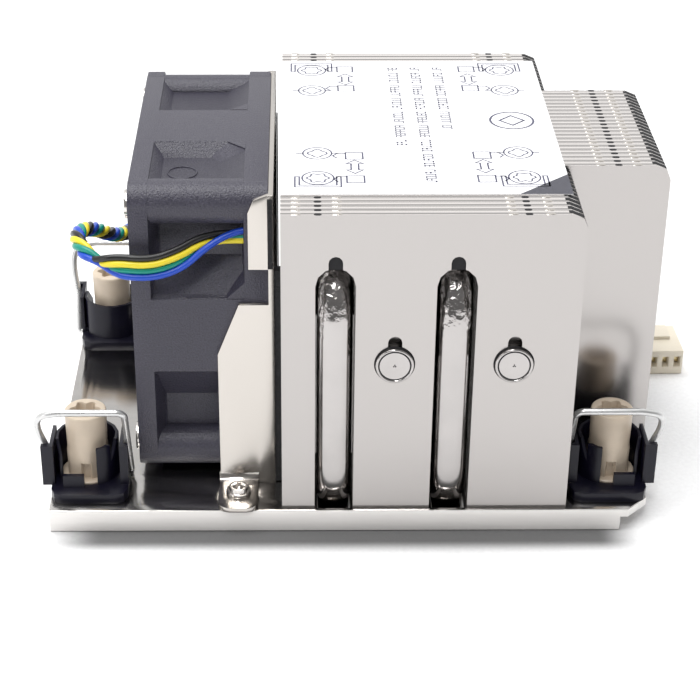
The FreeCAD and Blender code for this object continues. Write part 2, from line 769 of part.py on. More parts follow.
# ---------------------------------------------------------------- bracket
def make_bracket():
    body = new_body("fan_bracket")
    back = fan_back + S["sheet"]
    outside = fan_half + S["sheet"]
    centre = (0, fan_centre_z)
    pad(body, "YZ_Plane", fan_back, back, (draw_box, (-outside, fin_base), (outside, S["bracket_top"])))
    cut(body, "YZ_Plane", fan_back - 1, back + 1, (draw_ring, centre, S["bracket_opening"], 48))
    upper_left = back - S["upper_tab_width"]
    bend = S["tab_round"] * (1 - math.sqrt(0.5))
    upper_tab = [
        (upper_left, S["upper_tab_bottom"]),
        (back, S["upper_tab_bottom"]),
        (back, S["bracket_top"]),
        (upper_left + S["tab_round"], S["bracket_top"]),
        (upper_left + bend, S["bracket_top"] - bend),
        (upper_left, S["bracket_top"] - S["tab_round"]),
    ]
    lower_left = fan_back - S["lower_tab_width"] + S["sheet"]
    lower_tab = [
        (lower_left, fin_base),
        (back, fin_base),
        (back, S["lower_tab_top"]),
        (back - S["lower_tab_step"], S["lower_tab_top"]),
        (lower_left, S["lower_tab_shoulder"]),
    ]
    foot_left = foot_middle_x - S["foot_width"] / 2
    foot_right = foot_middle_x + S["foot_width"] / 2
    for side in (-1, 1):
        span = ordered(fan_half * side, outside * side)
        pad(body, "XZ_Plane", span[0], span[1], (draw_polygon, upper_tab))
        pad(body, "XZ_Plane", span[0], span[1], (draw_polygon, lower_tab))
        tip = (outside + S["foot_reach"] - S["foot_round"]) * side
        left_turn = arc_points((foot_left + S["foot_round"], tip), S["foot_round"], 180, 180 - 90 * side, 3)
        right_turn = arc_points((foot_right - S["foot_round"], tip), S["foot_round"], 90 * side, 0, 3)
        foot = [(foot_left, fan_half * side)] + left_turn + right_turn + [(foot_right, fan_half * side)]
        pad(body, "XY_Plane", fin_base, fin_base + S["sheet"], (draw_polygon, foot))
        bend_centre = ((outside + S["foot_bend"]) * side, fin_base + S["sheet"] + S["foot_bend"])
        hollow = arc_points(bend_centre, S["foot_bend"], 90 + 90 * side, 90 + 180 * side, 3)
        heel = (outside * side, fin_base + S["sheet"])
        pad(body, "YZ_Plane", foot_left, foot_right, (draw_polygon, [heel] + hollow))
    screw_holes = [(draw_ring, (foot_middle_x, foot_screw_y * b), S["screw_radius"], 8) for b in (-1, 1)]
    cut(body, "XY_Plane", fin_base - 1, fin_base + S["sheet"], *screw_holes)
    fan_holes = []
    for a, b in CORNERS.values():
        spot = (hole_offset * a, fan_centre_z + hole_offset * b)
        fan_holes.append((draw_ring, spot, S["fan_screw_radius"], 8))
    cut(body, "YZ_Plane", fan_back - 1, back + 1, *fan_holes)
    nodes.append(body)


def make_screws():
    """Two pan head screws through the bracket's feet, and four long ones through the fan."""
    head_z = fin_base + S["sheet"]
    shank_z = fin_base - S["screw_length"] + 0.3
    for label, side in (("near", -1), ("far", 1)):
        body = new_body(f"bracket_screw_{label}")
        spot = (0, 0)
        pad(body, "XY_Plane", shank_z, head_z, (draw_ring, spot, S["screw_radius"] - 0.03, 8))
        pad(body, "XY_Plane", head_z, head_z + 0.7, (draw_ring, spot, S["screw_head_radius"], 20))
        pad(body, "XY_Plane", head_z + 0.7, head_z + S["screw_head_height"],
            (draw_ring, spot, S["screw_head_radius"] - 0.6, 20))
        recess = head_z + S["screw_head_height"] - 0.9
        for long, short in ((1.1, 0.28), (0.28, 1.1)):
            cut(body, "XY_Plane", recess, recess + 2, (draw_box, (-long, -short), (long, short)))
        place(body, x=foot_middle_x, y=foot_screw_y * side)
        nodes.append(body)
    head_height = S["screw_head_height"] * 0.55
    for number, (a, b) in enumerate(CORNERS.values(), start=1):
        body = new_body(f"fan_screw_{number}")
        pad(body, "YZ_Plane", S["fan_front"], fan_back + S["sheet"],
            (draw_ring, (0, 0), S["fan_screw_radius"] - 0.03, 8))
        pad(body, "YZ_Plane", S["fan_front"] - head_height, S["fan_front"],
            (draw_ring, (0, 0), S["screw_head_radius"] + 0.3, 16))
        place(body, y=hole_offset * a, z=fan_centre_z + hole_offset * b)
        nodes.append(body)


# ---------------------------------------------------------------- corner hardware
def corner_place(body, across, depth):
    place(body, x=nut_x * across, y=nut_y * depth)


def make_nut(name, across, depth):
    """Captive nut: spigot in the plate, flange, flatted skirt, round head with a lobed socket."""
    body = new_body(f"nut_{name}")
    seat = fin_base + S["nut_seat_gap"]
    skirt = seat + S["nut_flange_height"]
    top = S["nut_top"]
    middle = (0, 0)
    pad(body, "XY_Plane", S["nut_foot"], seat, (draw_ring, middle, S["spigot_radius"], 12))
    pad(body, "XY_Plane", seat, skirt, (draw_ring, middle, S["nut_flange_radius"], 16))
    pad(body, "XY_Plane", skirt, S["nut_flat_top"], (draw_polygon, flatted_round()))
    pad(body, "XY_Plane", S["nut_flat_top"], top, (draw_ring, middle, S["nut_top_radius"], 20))
    socket = []
    for step in range(12):
        angle = math.radians(30 * step)
        reach = S["socket_radius"] if step % 2 else S["socket_radius"] - S["socket_lobe"]
        socket.append((reach * math.cos(angle), reach * math.sin(angle)))
    cut(body, "XY_Plane", top - S["socket_depth"], top, (draw_polygon, socket))
    notch = S["nut_notch"] / 2
    for turn in range(2):
        sides = []
        for hand in (-1, 1):
            inner = (S["nut_radius"] - 0.9) * hand
            outer = (S["nut_radius"] + 0.2) * hand
            low, high = ordered(inner, outer)
            flat = ((low, -notch), (high, notch)) if turn else ((-notch, low), (notch, high))
            sides.append((draw_box, *flat))
        cut(body, "XY_Plane", skirt, skirt + S["nut_notch_rise"], *sides)
    thread_top = S["nut_foot"] + S["thread_depth"]
    cut(body, "XY_Plane", S["nut_foot"], thread_top, (draw_circle, middle, S["thread_radius"]))
    corner_place(body, across, depth)
    nodes.append(body)


def flatted_round():
    """A hexagon whose corners are trimmed to the nut's own radius."""
    half_angle = math.degrees(math.acos(SIZES["nut_flats"] / 2 / SIZES["nut_radius"]))
    points = []
    for step in range(6):
        for hand in (-1, 1):
            angle = math.radians(60 * step + half_angle * hand)
            points.append((S["nut_radius"] * math.cos(angle), S["nut_radius"] * math.sin(angle)))
    return points


def signed_box(across, depth, low, high):
    """A box given outward from the corner's nut, in the row's own X and Y directions."""
    xs = ordered(size(low[0]) * across, size(high[0]) * across)
    ys = ordered(size(low[1]) * depth, size(high[1]) * depth)
    return (xs[0], ys[0]), (xs[1], ys[1])


def make_clip(name, across, depth):
    """Moulded clip: flange, open cup round the nut, low front tab, and two guides for the wire."""
    body = new_body(f"clip_{name}")
    floor = fin_base
    deck = floor + S["clip_thick"]
    low, high = signed_box(across, depth, (-S["clip_inner"], -S["clip_back"]), (S["clip_outer"], S["clip_front"]))
    pad(body, "XY_Plane", floor, deck, (draw_polygon, round_all((low, high), S["clip_corner"])))
    cup_top = deck + S["cup_rise"]
    pad(body, "XY_Plane", deck, cup_top, (draw_ring, (0, 0), S["cup_radius"], 16))
    post_top = deck + S["post_rise"]
    wire_front = bail_out(post_top - 0.3) + S["wire_radius"] + 0.45
    guides = []
    for leg, sign in ((S["outer_leg"], 1), (S["inner_leg"], -1)):
        wall_in = leg - S["wire_radius"] - S["guide_wall"] - 0.25
        wall_out = leg - S["wire_radius"] - 0.25
        post_out = leg + (0.75 if sign > 0 else 0.1)
        wall = ((wall_in * sign, -2.6), (wall_out * sign, wire_front + 1.2))
        post = ((wall_in * sign, wire_front), (post_out * sign, wire_front + 1.2))
        guides.append((draw_box, *signed_box(across, depth, *wall)))
        pad(body, "XY_Plane", deck, post_top, guides[-1])
        pad(body, "XY_Plane", deck - 0.2, post_top, (draw_box, *signed_box(across, depth, *post)))
        boss = ((S["cup_bore"] * sign, -S["pivot_back"] - 1.4), (wall_out * sign, 1.4 - S["pivot_back"]))
        pad(body, "XY_Plane", floor, S["pivot_z"] + 1.5, (draw_box, *signed_box(across, depth, *boss)))
    slope_cut(body, across, depth, deck, post_top)
    tab = ((0.3, S["cup_bore"] + 0.2), (4.3, S["cup_radius"] + 0.4))
    window = ((-2.2, 3.0), (7.0 - 1.2, S["cup_radius"] + 1.2))
    cut(body, "XY_Plane", deck, post_top + 1, (draw_box, *signed_box(across, depth, *window)))
    pad(body, "XY_Plane", deck - 0.5, deck + 2.6, (draw_box, *signed_box(across, depth, *tab)))
    cut(body, "XY_Plane", floor - 1, post_top + 1, (draw_ring, (0, 0), S["cup_bore"] + 0.1, 16))
    leg_gap = ((S["inner_leg"] - S["wire_radius"] - 0.2) * -1, -2.4), ((S["inner_leg"] + 1) * -1, 0.7)
    cut(body, "XY_Plane", floor - 1, deck + 0.2, (draw_box, *signed_box(across, depth, *leg_gap)))
    stub_bores(body, across, depth)
    corner_place(body, across, depth)
    nodes.append(body)


def bail_out(height):
    """How far outward from the nut's axis the tilted bail's wire is at a height."""
    slope = math.tan(math.radians(SIZES["bail_tilt"]))
    return (size(height) - S["pivot_z"]) * slope - S["pivot_back"]


def slope_cut(body, across, depth, deck, post_top):
    """Slants the cup's and guides' tops down towards the front."""
    front = S["clip_front"] + 1
    points = [
        (1.5 * depth, post_top + 1),
        (1.5 * depth, deck + S["cup_rise"] * 0.98),
        ((bail_out(post_top) + 0.6) * depth, deck + S["cup_rise"] * 0.52),
        ((bail_out(post_top) + 0.6) * depth, post_top + 1),
    ]
    half = S["cup_radius"] - 0.4
    cut(body, "YZ_Plane", -half, half, (draw_polygon, points))


def stub_bores(body, across, depth):
    """Bearing holes for the two inward ends of the bail."""
    centre = (-S["pivot_back"] * depth, S["pivot_z"])
    radius = S["wire_radius"] + S["wire_fit"]
    for leg, sign in ((S["outer_leg"], 1), (S["inner_leg"], -1)):
        tip = (leg - S["stub_length"] - 0.1) * (sign * across)
        mouth = (leg + 1.0) * (sign * across)
        span = ordered(tip, mouth)
        cut(body, "YZ_Plane", span[0], span[1], (draw_circle, centre, radius))


def round_section(radius, spot, direction, sides):
    """Many-sided closed wire square to a direction, for the thin swept pieces."""
    turn = FreeCAD.Rotation(FreeCAD.Vector(0, 0, 1), direction)
    corners = []
    for step in range(sides + 1):
        angle = 2 * math.pi * (step + 0.5) / sides
        corner = FreeCAD.Vector(radius * math.cos(angle), radius * math.sin(angle), 0)
        corners.append(spot + turn.multVec(corner))
    return Part.makePolygon(corners)


def make_bail(name, across, depth):
    """Wire bail: two inward stubs, two legs and a crossbar with a wide outer bend."""
    tilt = math.radians(SIZES["bail_tilt"])
    number = SIZES
    inner = number["inner_leg"]
    outer = number["outer_leg"]
    reach = number["bail_reach"]
    route = [
        (outer - number["stub_length"], 0.0),
        (outer, 0.0),
        (outer, 8.5),
        (outer + 1.15, reach - 5.2),
        (outer + 0.3, reach - 2.1),
        (outer - 3.2, reach),
        (1.4 - inner, reach),
        (0.25 - inner, reach - 1.2),
        (-inner, reach - 8.5),
        (-inner, 0.0),
        (number["stub_length"] - inner, 0.0),
    ]
    spots = []
    for lateral, up in route:
        out = up * math.sin(tilt) - number["pivot_back"]
        spots.append(FreeCAD.Vector(lateral * across, out * depth, number["pivot_z"] + up * math.cos(tilt)))
    wire = Part.makePolygon(spots)
    section = round_section(number["wire_radius"], spots[0], spots[1] - spots[0], 8)
    bail = doc.addObject("Part::Feature", f"bail_{name}")
    bail.Label = f"bail_{name}"
    bail.Shape = wire.makePipeShell([section], True, False, 1)
    corner_place(bail, across, depth)
    nodes.append(bail)


# ---------------------------------------------------------------- label
def make_label():
    body = new_body("top_label")
    low = (S["stack_start"], -S["label_near"])
    high = (S["stack_start"] + S["label_length"], S["label_far"])
    pad(body, "XY_Plane", fin_top, fin_top + S["label_thick"], (draw_box, low, high))
    nodes.append(body)


# ---------------------------------------------------------------- fan lead
LEAD_ROUTE = [
    (-17.7, -27.6, 57.0),
    (-25.0, -27.6, 57.0),
    (-33.0, -33.5, 51.8),
    (-44.5, -34.2, 52.6),
    (-53.5, -26.5, 55.4),
    (-53.6, -13.5, 51.6),
    (-47.2, 0.5, 45.0),
    (-44.8, 22.0, 40.0),
    (-41.5, 36.5, 29.5),
    (-36.5, 46.5, 12.0),
    (-27.0, 52.5, 1.6),
    (0.0, 50.5, 1.6),
    (30.0, 52.5, 1.6),
    (56.0, 52.0, 1.6),
    (69.0, 44.5, 2.9),
    (69.4, 30.2, 2.9),
]


def make_lead():
    """Bundle of the fan's four wires: straight runs joined by the widest arcs that fit."""
    radius = SIZES["lead_radius"]
    spots = [FreeCAD.Vector(*point) for point in LEAD_ROUTE]
    edges = []
    start = spots[0]
    for before, here, after in zip(spots, spots[1:], spots[2:]):
        towards = (before - here).normalize()
        onwards = (after - here).normalize()
        half_turn = (math.pi - towards.getAngle(onwards)) / 2
        shorter = min((before - here).Length, (after - here).Length)
        setback = 0.45 * shorter
        arc_radius = setback / math.tan(half_turn)
        bisector = (towards + onwards).normalize()
        middle = here + bisector * (arc_radius / math.cos(half_turn) - arc_radius)
        enter = here + towards * setback
        leave = here + onwards * setback
        edges.append(Part.LineSegment(start, enter).toShape())
        edges.append(Part.Arc(enter, middle, leave).toShape())
        start = leave
        print(f"lead bend radius {arc_radius:.1f}")
    edges.append(Part.LineSegment(start, spots[-1]).toShape())
    path = Part.Wire(edges)
    section = round_section(radius, spots[0], spots[1] - spots[0], 6)
    tube = path.makePipeShell([section], True, True)
    expected = Part.Face(section).Area * path.Length
    print(f"lead length {path.Length:.1f}, volume ratio {tube.Volume / expected:.4f}")
    lead = doc.addObject("Part::Feature", "fan_lead")
    lead.Label = "fan_lead"
    lead.Shape = tube
    nodes.append(lead)


def make_plug():
    """Four-way crimp housing on the end of the lead, with its contacts inside."""
    end = FreeCAD.Vector(*LEAD_ROUTE[-1])
    before = FreeCAD.Vector(*LEAD_ROUTE[-2])
    turn = FreeCAD.Rotation(FreeCAD.Vector(0, -1, 0), FreeCAD.Vector(end.x - before.x, end.y - before.y, 0))
    body = new_body("lead_plug")
    half = S["plug_width"] / 2
    pad(body, "XY_Plane", 0, S["plug_height"], (draw_box, (-half, -S["plug_length"]), (half, 0)))
    slots = []
    for number in range(4):
        middle = S["contact_pitch"] * (number - 1.5)
        half_slot = S["contact_width"] / 2 + 0.05
        slots.append((draw_box, (middle - half_slot, S["plug_wall"] + 0.95),
                      (middle + half_slot, S["plug_wall"] + 2.25 + S["contact_width"] * 0.9)))
    cut(body, "XZ_Plane", -S["plug_length"] - 1, -1.6, *slots)
    rib = S["plug_width"] * 0.3
    pad(body, "XY_Plane", S["plug_height"], S["plug_height"] + 0.8,
        (draw_box, (-rib, -S["plug_length"] * 0.55), (rib, -S["plug_length"] * 0.1)))
    body.Placement = FreeCAD.Placement(FreeCAD.Vector(end.x, end.y, 0), turn)
    nodes.append(body)
    contacts = []
    for number in range(4):
        box = doc.addObject("Part::Box", f"contact_{number}")
        bind(box, "Length", S["contact_width"])
        bind(box, "Width", S["contact_length"])
        bind(box, "Height", S["contact_width"])
        box.Placement.Base = FreeCAD.Vector(
            SIZES["contact_pitch"] * (number - 1.5) - SIZES["contact_width"] / 2,
            -1.7 - SIZES["contact_length"], SIZES["plug_wall"] + 1.2)
        contacts.append(box)
    together = doc.addObject("Part::Compound", "plug_contacts")
    together.Label = "plug_contacts"
    together.Links = contacts
    together.Placement = FreeCAD.Placement(FreeCAD.Vector(end.x, end.y, 0), turn)
    nodes.append(together)


make_base_plate()
make_fin_bank("fins_near", 0, SHORT_FINS, S["short_fin_length"], 1, SHORT_FINS)
make_fin_bank("fins_centre", SHORT_FINS, LONG_FINS, S["long_fin_length"], 1, LONG_FINS - 1)
make_fin_bank("fins_far", SHORT_FINS + LONG_FINS, SHORT_FINS, S["short_fin_length"], -1, SHORT_FINS)
for pipe_index, bent_side in PIPES:
    make_heat_pipe(pipe_index, bent_side)
make_fan_frame()
make_impeller()
make_fan_inside()
make_bracket()
make_screws()
for corner, (corner_x, corner_y) in CORNERS.items():
    make_nut(corner, corner_x, corner_y)
    make_clip(corner, corner_x, corner_y)
    make_bail(corner, corner_x, corner_y)
make_label()
make_lead()
make_plug()
doc.recompute()

for item in doc.Objects:
    if "Invalid" in item.State or "Error" in item.State:
        raise RuntimeError(f"{item.Name} ({item.Label}) failed: {item.State}")
    if item.TypeId == "PartDesign::Pocket" and item.BaseFeature is not None:
        if item.Shape.Volume > item.BaseFeature.Shape.Volume - 1e-6:
            raise RuntimeError(f"{item.Name} cuts nothing")
for node in nodes:
    if node.Shape.isNull() or not node.Shape.isValid():
        raise RuntimeError(f"{node.Label} has no valid shape")

os.makedirs("parts", exist_ok=True)
for node in nodes:
    node.Shape.exportStep(f"parts/{node.Label}.step")
    print(node.Label, len(node.Shape.Solids), "solids", round(node.Shape.Volume, 1), "mm3")
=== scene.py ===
import json
import math

import bmesh
import bpy
from mathutils import Matrix, Vector, noise


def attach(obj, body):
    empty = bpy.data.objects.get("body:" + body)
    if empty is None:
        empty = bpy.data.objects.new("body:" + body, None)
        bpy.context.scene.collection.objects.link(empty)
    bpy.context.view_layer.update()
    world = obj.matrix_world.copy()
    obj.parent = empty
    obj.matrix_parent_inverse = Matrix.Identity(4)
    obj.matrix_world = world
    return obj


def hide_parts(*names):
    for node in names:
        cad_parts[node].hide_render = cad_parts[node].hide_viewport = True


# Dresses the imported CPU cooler: finishes on the CAD nodes, the pieces drawn here, floor, light and camera.
# Lengths are millimetres and angles degrees, unless a comment says otherwise. MM turns lengths to metres.
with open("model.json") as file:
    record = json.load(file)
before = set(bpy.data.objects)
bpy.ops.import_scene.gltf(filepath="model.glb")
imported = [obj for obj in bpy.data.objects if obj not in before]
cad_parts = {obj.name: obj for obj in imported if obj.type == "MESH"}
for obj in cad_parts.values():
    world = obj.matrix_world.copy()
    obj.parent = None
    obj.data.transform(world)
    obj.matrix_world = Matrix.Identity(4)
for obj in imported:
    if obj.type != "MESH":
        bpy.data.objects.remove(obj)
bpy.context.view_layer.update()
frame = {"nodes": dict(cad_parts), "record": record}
MM = 0.001
SCENE = bpy.context.scene
NODES = frame["nodes"]
CORNERS = {"near_left": (-1, -1), "near_right": (1, -1), "far_left": (-1, 1), "far_right": (1, 1)}


# ------------------------------------------------------------------ shader nodes
def add(tree, kind, inputs=None, **settings):
    """New node. A socket given for an input is linked to it, any other value is set on it."""
    made = tree.nodes.new(kind)
    for name, value in settings.items():
        setattr(made, name, value)
    for name, value in (inputs or {}).items():
        if isinstance(value, bpy.types.NodeSocket):
            tree.links.new(value, made.inputs[name])
        else:
            made.inputs[name].default_value = value
    return made


def remap(tree, value, start, stop, low, high, kind="SMOOTHSTEP"):
    """Takes a value from one span to another. Low and high may be sockets too."""
    ends = {"Value": value, "From Min": start, "From Max": stop, "To Min": low, "To Max": high}
    return add(tree, "ShaderNodeMapRange", ends, interpolation_type=kind).outputs["Result"]


def joined(tree, operation, first, *others):
    """The values joined one after another by a math operation."""
    for other in others:
        first = add(tree, "ShaderNodeMath", {0: first, 1: other}, operation=operation).outputs["Value"]
    return first


def component(tree, vector, axis):
    return add(tree, "ShaderNodeSeparateXYZ", {"Vector": vector}).outputs[axis]


def principled(material):
    return material.node_tree.nodes["Principled BSDF"]


def scale_tone(material, factor):
    """Multiplies the colour that already reaches the shader."""
    tree = material.node_tree
    color = principled(material).inputs["Base Color"]
    scaled = add(tree, "ShaderNodeVectorMath", {0: color.links[0].from_socket, "Scale": factor},
                 operation="SCALE")
    tree.links.new(scaled.outputs["Vector"], color)


# ------------------------------------------------------------------ materials
def surface(name, color, metallic=0.0, rough=0.5, tint=0.05, scale=60.0, stretch=(1, 1, 1), bump=0.1,
            bump_scale=900.0, rough_swing=0.08, coat=0.0, depth=0.00005, gloss=0.5):
    """Principled surface whose colour and roughness drift slowly and whose normal has fine grain.

    Scales are per metre, and depth is in metres.
    """
    material = bpy.data.materials.new(name)
    material.use_nodes = True
    tree = material.node_tree
    shader = principled(material)
    for socket, value in (("Metallic", metallic), ("Coat Weight", coat), ("Specular IOR Level", gloss)):
        shader.inputs[socket].default_value = value
    coords = add(tree, "ShaderNodeTexCoord")
    mapping = add(tree, "ShaderNodeMapping", {"Vector": coords.outputs["Object"], "Scale": stretch})
    place = mapping.outputs["Vector"]
    drift = add(tree, "ShaderNodeTexNoise", {"Vector": place, "Scale": scale, "Detail": 4}).outputs["Fac"]
    tone = add(tree, "ShaderNodeValToRGB", {"Fac": drift})
    for stop, position, change in zip(tone.color_ramp.elements, (0.3, 0.7), (-tint, tint)):
        stop.position = position
        stop.color = (*[min(1, channel * (1 + change)) for channel in color], 1)
    tree.links.new(tone.outputs["Color"], shader.inputs["Base Color"])
    low, high = max(0.02, rough - rough_swing), min(1.0, rough + rough_swing)
    tree.links.new(remap(tree, drift, 0, 1, low, high, "LINEAR"), shader.inputs["Roughness"])
    grain = add(tree, "ShaderNodeTexNoise", {"Vector": place, "Scale": bump_scale, "Detail": 3})
    relief = add(tree, "ShaderNodeBump",
                 {"Height": grain.outputs["Fac"], "Strength": bump, "Distance": depth})
    tree.links.new(relief.outputs["Normal"], shader.inputs["Normal"])
    return material


PIPE_NICKEL = (0.465, 0.445, 0.435)
FLOOR = surface("floor_cloth", (0.965, 0.965, 0.97), rough=0.9, tint=0.03, scale=1100, bump=0.4,
                bump_scale=1100, depth=0.0003)
PLATE = surface("plate_nickel", (0.50, 0.485, 0.47), metallic=1, rough=0.16, tint=0.05, scale=22,
                stretch=(1, 14, 14), bump=0.16, bump_scale=420, rough_swing=0.05)
FIN = surface("fin_nickel", (0.462, 0.440, 0.427), metallic=1, rough=0.23, tint=0.012, scale=20,
              stretch=(1, 1, 3), bump=0.03, bump_scale=700)
PIPE = surface("pipe_nickel", PIPE_NICKEL, metallic=1, rough=0.13, tint=0.04, scale=160, bump=0.25,
               bump_scale=1500, depth=0.00006, rough_swing=0.05)
FAN = surface("fan_plastic", (0.045, 0.0425, 0.062), rough=0.31, tint=0.25, scale=3000, bump=1.0,
              bump_scale=3000, depth=0.00016)
# a darker copy of the fan plastic: painted shade on the pocket floors and their slopes towards the outlet
FAN_PAINTED_SHADE = surface("fan_plastic_painted_shade", (0.032, 0.030, 0.046), rough=0.36, tint=0.25, scale=3000, bump=1.0,
                     bump_scale=3000, depth=0.00016)
ROTOR = surface("rotor_plastic", (0.035, 0.035, 0.042), rough=0.38, tint=0.10, scale=120, bump=0.2,
                bump_scale=1800)
BRACKET = surface("bracket_nickel", (0.57, 0.537, 0.499), metallic=1, rough=0.22, tint=0.02, scale=40,
                  bump=0.10, bump_scale=260)
SCREW = surface("screw_steel", (0.70, 0.67, 0.64), metallic=1, rough=0.20, tint=0.06, scale=600,
                bump=0.1, bump_scale=2500)
DARK_METAL = surface("motor_metal", (0.35, 0.35, 0.36), metallic=1, rough=0.35, scale=200)
MAGNET = surface("magnet", (0.05, 0.05, 0.05), rough=0.6, scale=300, bump=0.2)
STATOR = surface("stator", (0.16, 0.14, 0.13), metallic=1, rough=0.45, stretch=(14, 1, 1), scale=120)
BOARD = surface("board", (0.03, 0.16, 0.07), rough=0.35, scale=300, coat=0.3)
NUT = surface("nut_nylon", (0.61, 0.51, 0.40), rough=0.38, tint=0.06, scale=250, bump=0.12, bump_scale=1500)
CLIP = surface("clip_plastic", (0.004, 0.0035, 0.011), rough=0.32, tint=0.2, scale=250, bump=0.15,
               bump_scale=1600, gloss=0.36)
WIRE = surface("bail_wire", (0.66, 0.66, 0.655), metallic=0.75, rough=0.28, tint=0.03, scale=500,
               bump=0.01, bump_scale=900, rough_swing=0.02)
LABEL = surface("label_film", (0.86, 0.86, 0.87), rough=0.38, tint=0.008, scale=40, bump=0.03,
                bump_scale=1200)
INK = surface("label_ink", (0.10, 0.10, 0.16), tint=0.1, scale=500, bump=0.03)
CORNER_INK = surface("label_corner", (0.075, 0.075, 0.095), rough=0.45, tint=0.12, scale=900, bump=0.03)
PLUG = surface("plug_nylon", (0.80, 0.73, 0.60), rough=0.35, tint=0.03, scale=150, bump=0.06, coat=0.1)
BRASS = surface("contact", (0.72, 0.62, 0.36), metallic=1, rough=0.3, scale=400)
FOAM = surface("gasket_foam", (0.012, 0.012, 0.014), rough=0.55, tint=0.5, scale=2500, bump=1.0,
               bump_scale=2500, depth=0.0004)
# painted shade: near-black put on sheets and rings in holes, slots, gaps, grooves and dimples where shade
# falls
PAINTED_SHADE = surface("painted_shade", (0.012, 0.012, 0.014), rough=0.6, tint=0.1, scale=900, gloss=0.30)
WIRES = [surface(f"wire_{name}", color, rough=rough, tint=tint, scale=400, bump=0.08, bump_scale=1500)
         for name, color, rough, tint in (("blue", (0.012, 0.07, 0.52), 0.32, 0.06),
                                          ("green", (0.0, 0.27, 0.20), 0.32, 0.06),
                                          ("yellow", (0.83, 0.68, 0.03), 0.32, 0.04),
                                          ("black", (0.012, 0.012, 0.012), 0.3, 0.1))]

SIDE_ROUGH = 0.38
SIDE_LIFT = 1.90


def brush_edges(material):
    """The plate's sawn sides: duller and lighter than its polished top."""
    tree = material.node_tree
    facing = add(tree, "ShaderNodeNewGeometry").outputs["True Normal"]
    upright = add(tree, "ShaderNodeMath", {0: component(tree, facing, "Z")}, operation="ABSOLUTE")
    upright = upright.outputs["Value"]
    for name, side_value in (("Metallic", 0.0), ("Roughness", SIDE_ROUGH)):
        socket = principled(material).inputs[name]
        top_value = socket.links[0].from_socket if socket.links else socket.default_value
        tree.links.new(remap(tree, upright, 0, 1, side_value, top_value, "LINEAR"), socket)
    scale_tone(material, remap(tree, upright, 0, 1, SIDE_LIFT, 1.0, "LINEAR"))


FIN_TOP = 66.65
FIN_PITCH = 1.7556
FIN_COUNT = 46
# painted light on the upward fin faces, and painted shade in the line at each fold
TOP_PAINTED_LIGHT = 1.85
FOLD_PAINTED_SHADE = 0.82
# share of the pitch over which a painted shade line ends
LINE_END = (0.30, 0.42)
# makes the count whole at each fin's middle and positive over the whole stack
LINE_SHIFT = 50.5


def paint_top_light_and_fold_shade(material):
    """Painted light on upward faces, lifting their tone, ruled with a painted shade line at each folded edge.
    """
    tree = material.node_tree
    facing = add(tree, "ShaderNodeNewGeometry")
    across = component(tree, facing.outputs["Position"], "Y")
    count = add(tree, "ShaderNodeMath", {0: across, 1: 1 / (FIN_PITCH * MM), 2: LINE_SHIFT},
                operation="MULTIPLY_ADD")
    share = add(tree, "ShaderNodeMath", {0: count.outputs["Value"]}, operation="FRACT")
    line = remap(tree, share.outputs["Value"], *LINE_END, FOLD_PAINTED_SHADE, TOP_PAINTED_LIGHT)
    upward = component(tree, facing.outputs["True Normal"], "Z")
    scale_tone(material, remap(tree, upward, 0.5, 1.0, 1.0, line, "LINEAR"))


# ------------------------------------------------------------------ mesh helpers
def new_object(name, bm, *materials):
    mesh = bpy.data.meshes.new(name)
    bm.normal_update()
    bm.to_mesh(mesh)
    bm.free()
    thing = bpy.data.objects.new(name, mesh)
    for material in materials:
        mesh.materials.append(material)
    SCENE.collection.objects.link(thing)
    return thing


def smooth(thing, angle):
    """Smooth shading with edges sharper than the angle kept crisp."""
    bm = bmesh.new()
    bm.from_mesh(thing.data)
    limit = math.radians(angle)
    for face in bm.faces:
        face.smooth = True
    for edge in bm.edges:
        edge.smooth = not (edge.is_boundary or edge.calc_face_angle(0) > limit)
    bm.to_mesh(thing.data)
    bm.free()


def row(bm, spots):
    """Vertices at places in millimetres."""
    return [bm.verts.new(Vector(spot) * MM) for spot in spots]


def skin(bm, rows, slot=0, closed=True):
    """Four-sided faces between rows of vertices that follow each other."""
    for low, high in zip(rows, rows[1:]):
        count = len(low)
        for number in range(count if closed else count - 1):
            after = (number + 1) % count
            face = bm.faces.new((low[number], low[after], high[after], high[number]))
            face.material_index = slot


def walk(spots):
    """Each spot of a line with two directions square to it that twist as little as they can."""
    side = None
    for step, here in enumerate(spots):
        ahead = (spots[min(step + 1, len(spots) - 1)] - spots[max(step - 1, 0)]).normalized()
        if side is None:
            side = Vector((0, 0, 1)) if abs(ahead.z) < 0.9 else Vector((1, 0, 0))
        side = (side - ahead * side.dot(ahead)).normalized()
        yield here, side, ahead.cross(side)


def sweep(bm, spots, radius, sides=16, caps=True, slot=0, shape=None):
    """Tube along spots given in metres. shape(step, angle) may scale the radius round the section."""
    rings = []
    for step, (here, side, other) in enumerate(walk(spots)):
        ring = []
        for number in range(sides):
            angle = 2 * math.pi * number / sides
            reach = radius * (shape(step, angle) if shape else 1)
            spot = here + side * (reach * math.cos(angle)) + other * (reach * math.sin(angle))
            ring.append(bm.verts.new(spot))
        rings.append(ring)
    skin(bm, rings, slot)
    if caps:
        for ring in (list(reversed(rings[0])), rings[-1]):
            bm.faces.new(ring).material_index = slot


def arc(centre, radius, start, stop, steps):
    """Points (a, b) on an arc between two angles."""
    spots = []
    for step in range(steps + 1):
        angle = math.radians(start + (stop - start) * step / steps)
        spots.append((centre[0] + radius * math.cos(angle), centre[1] + radius * math.sin(angle)))
    return spots


def loop_points(x, y, radius, steps, lobe=0.0, lobes=6):
    """Points (a, b) on a closed ring that may have lobes."""
    spots = []
    for step in range(steps):
        angle = 2 * math.pi * step / steps
        reach = radius * (1 + lobe * math.cos(lobes * angle))
        spots.append((x + reach * math.cos(angle), y + reach * math.sin(angle)))
    return spots


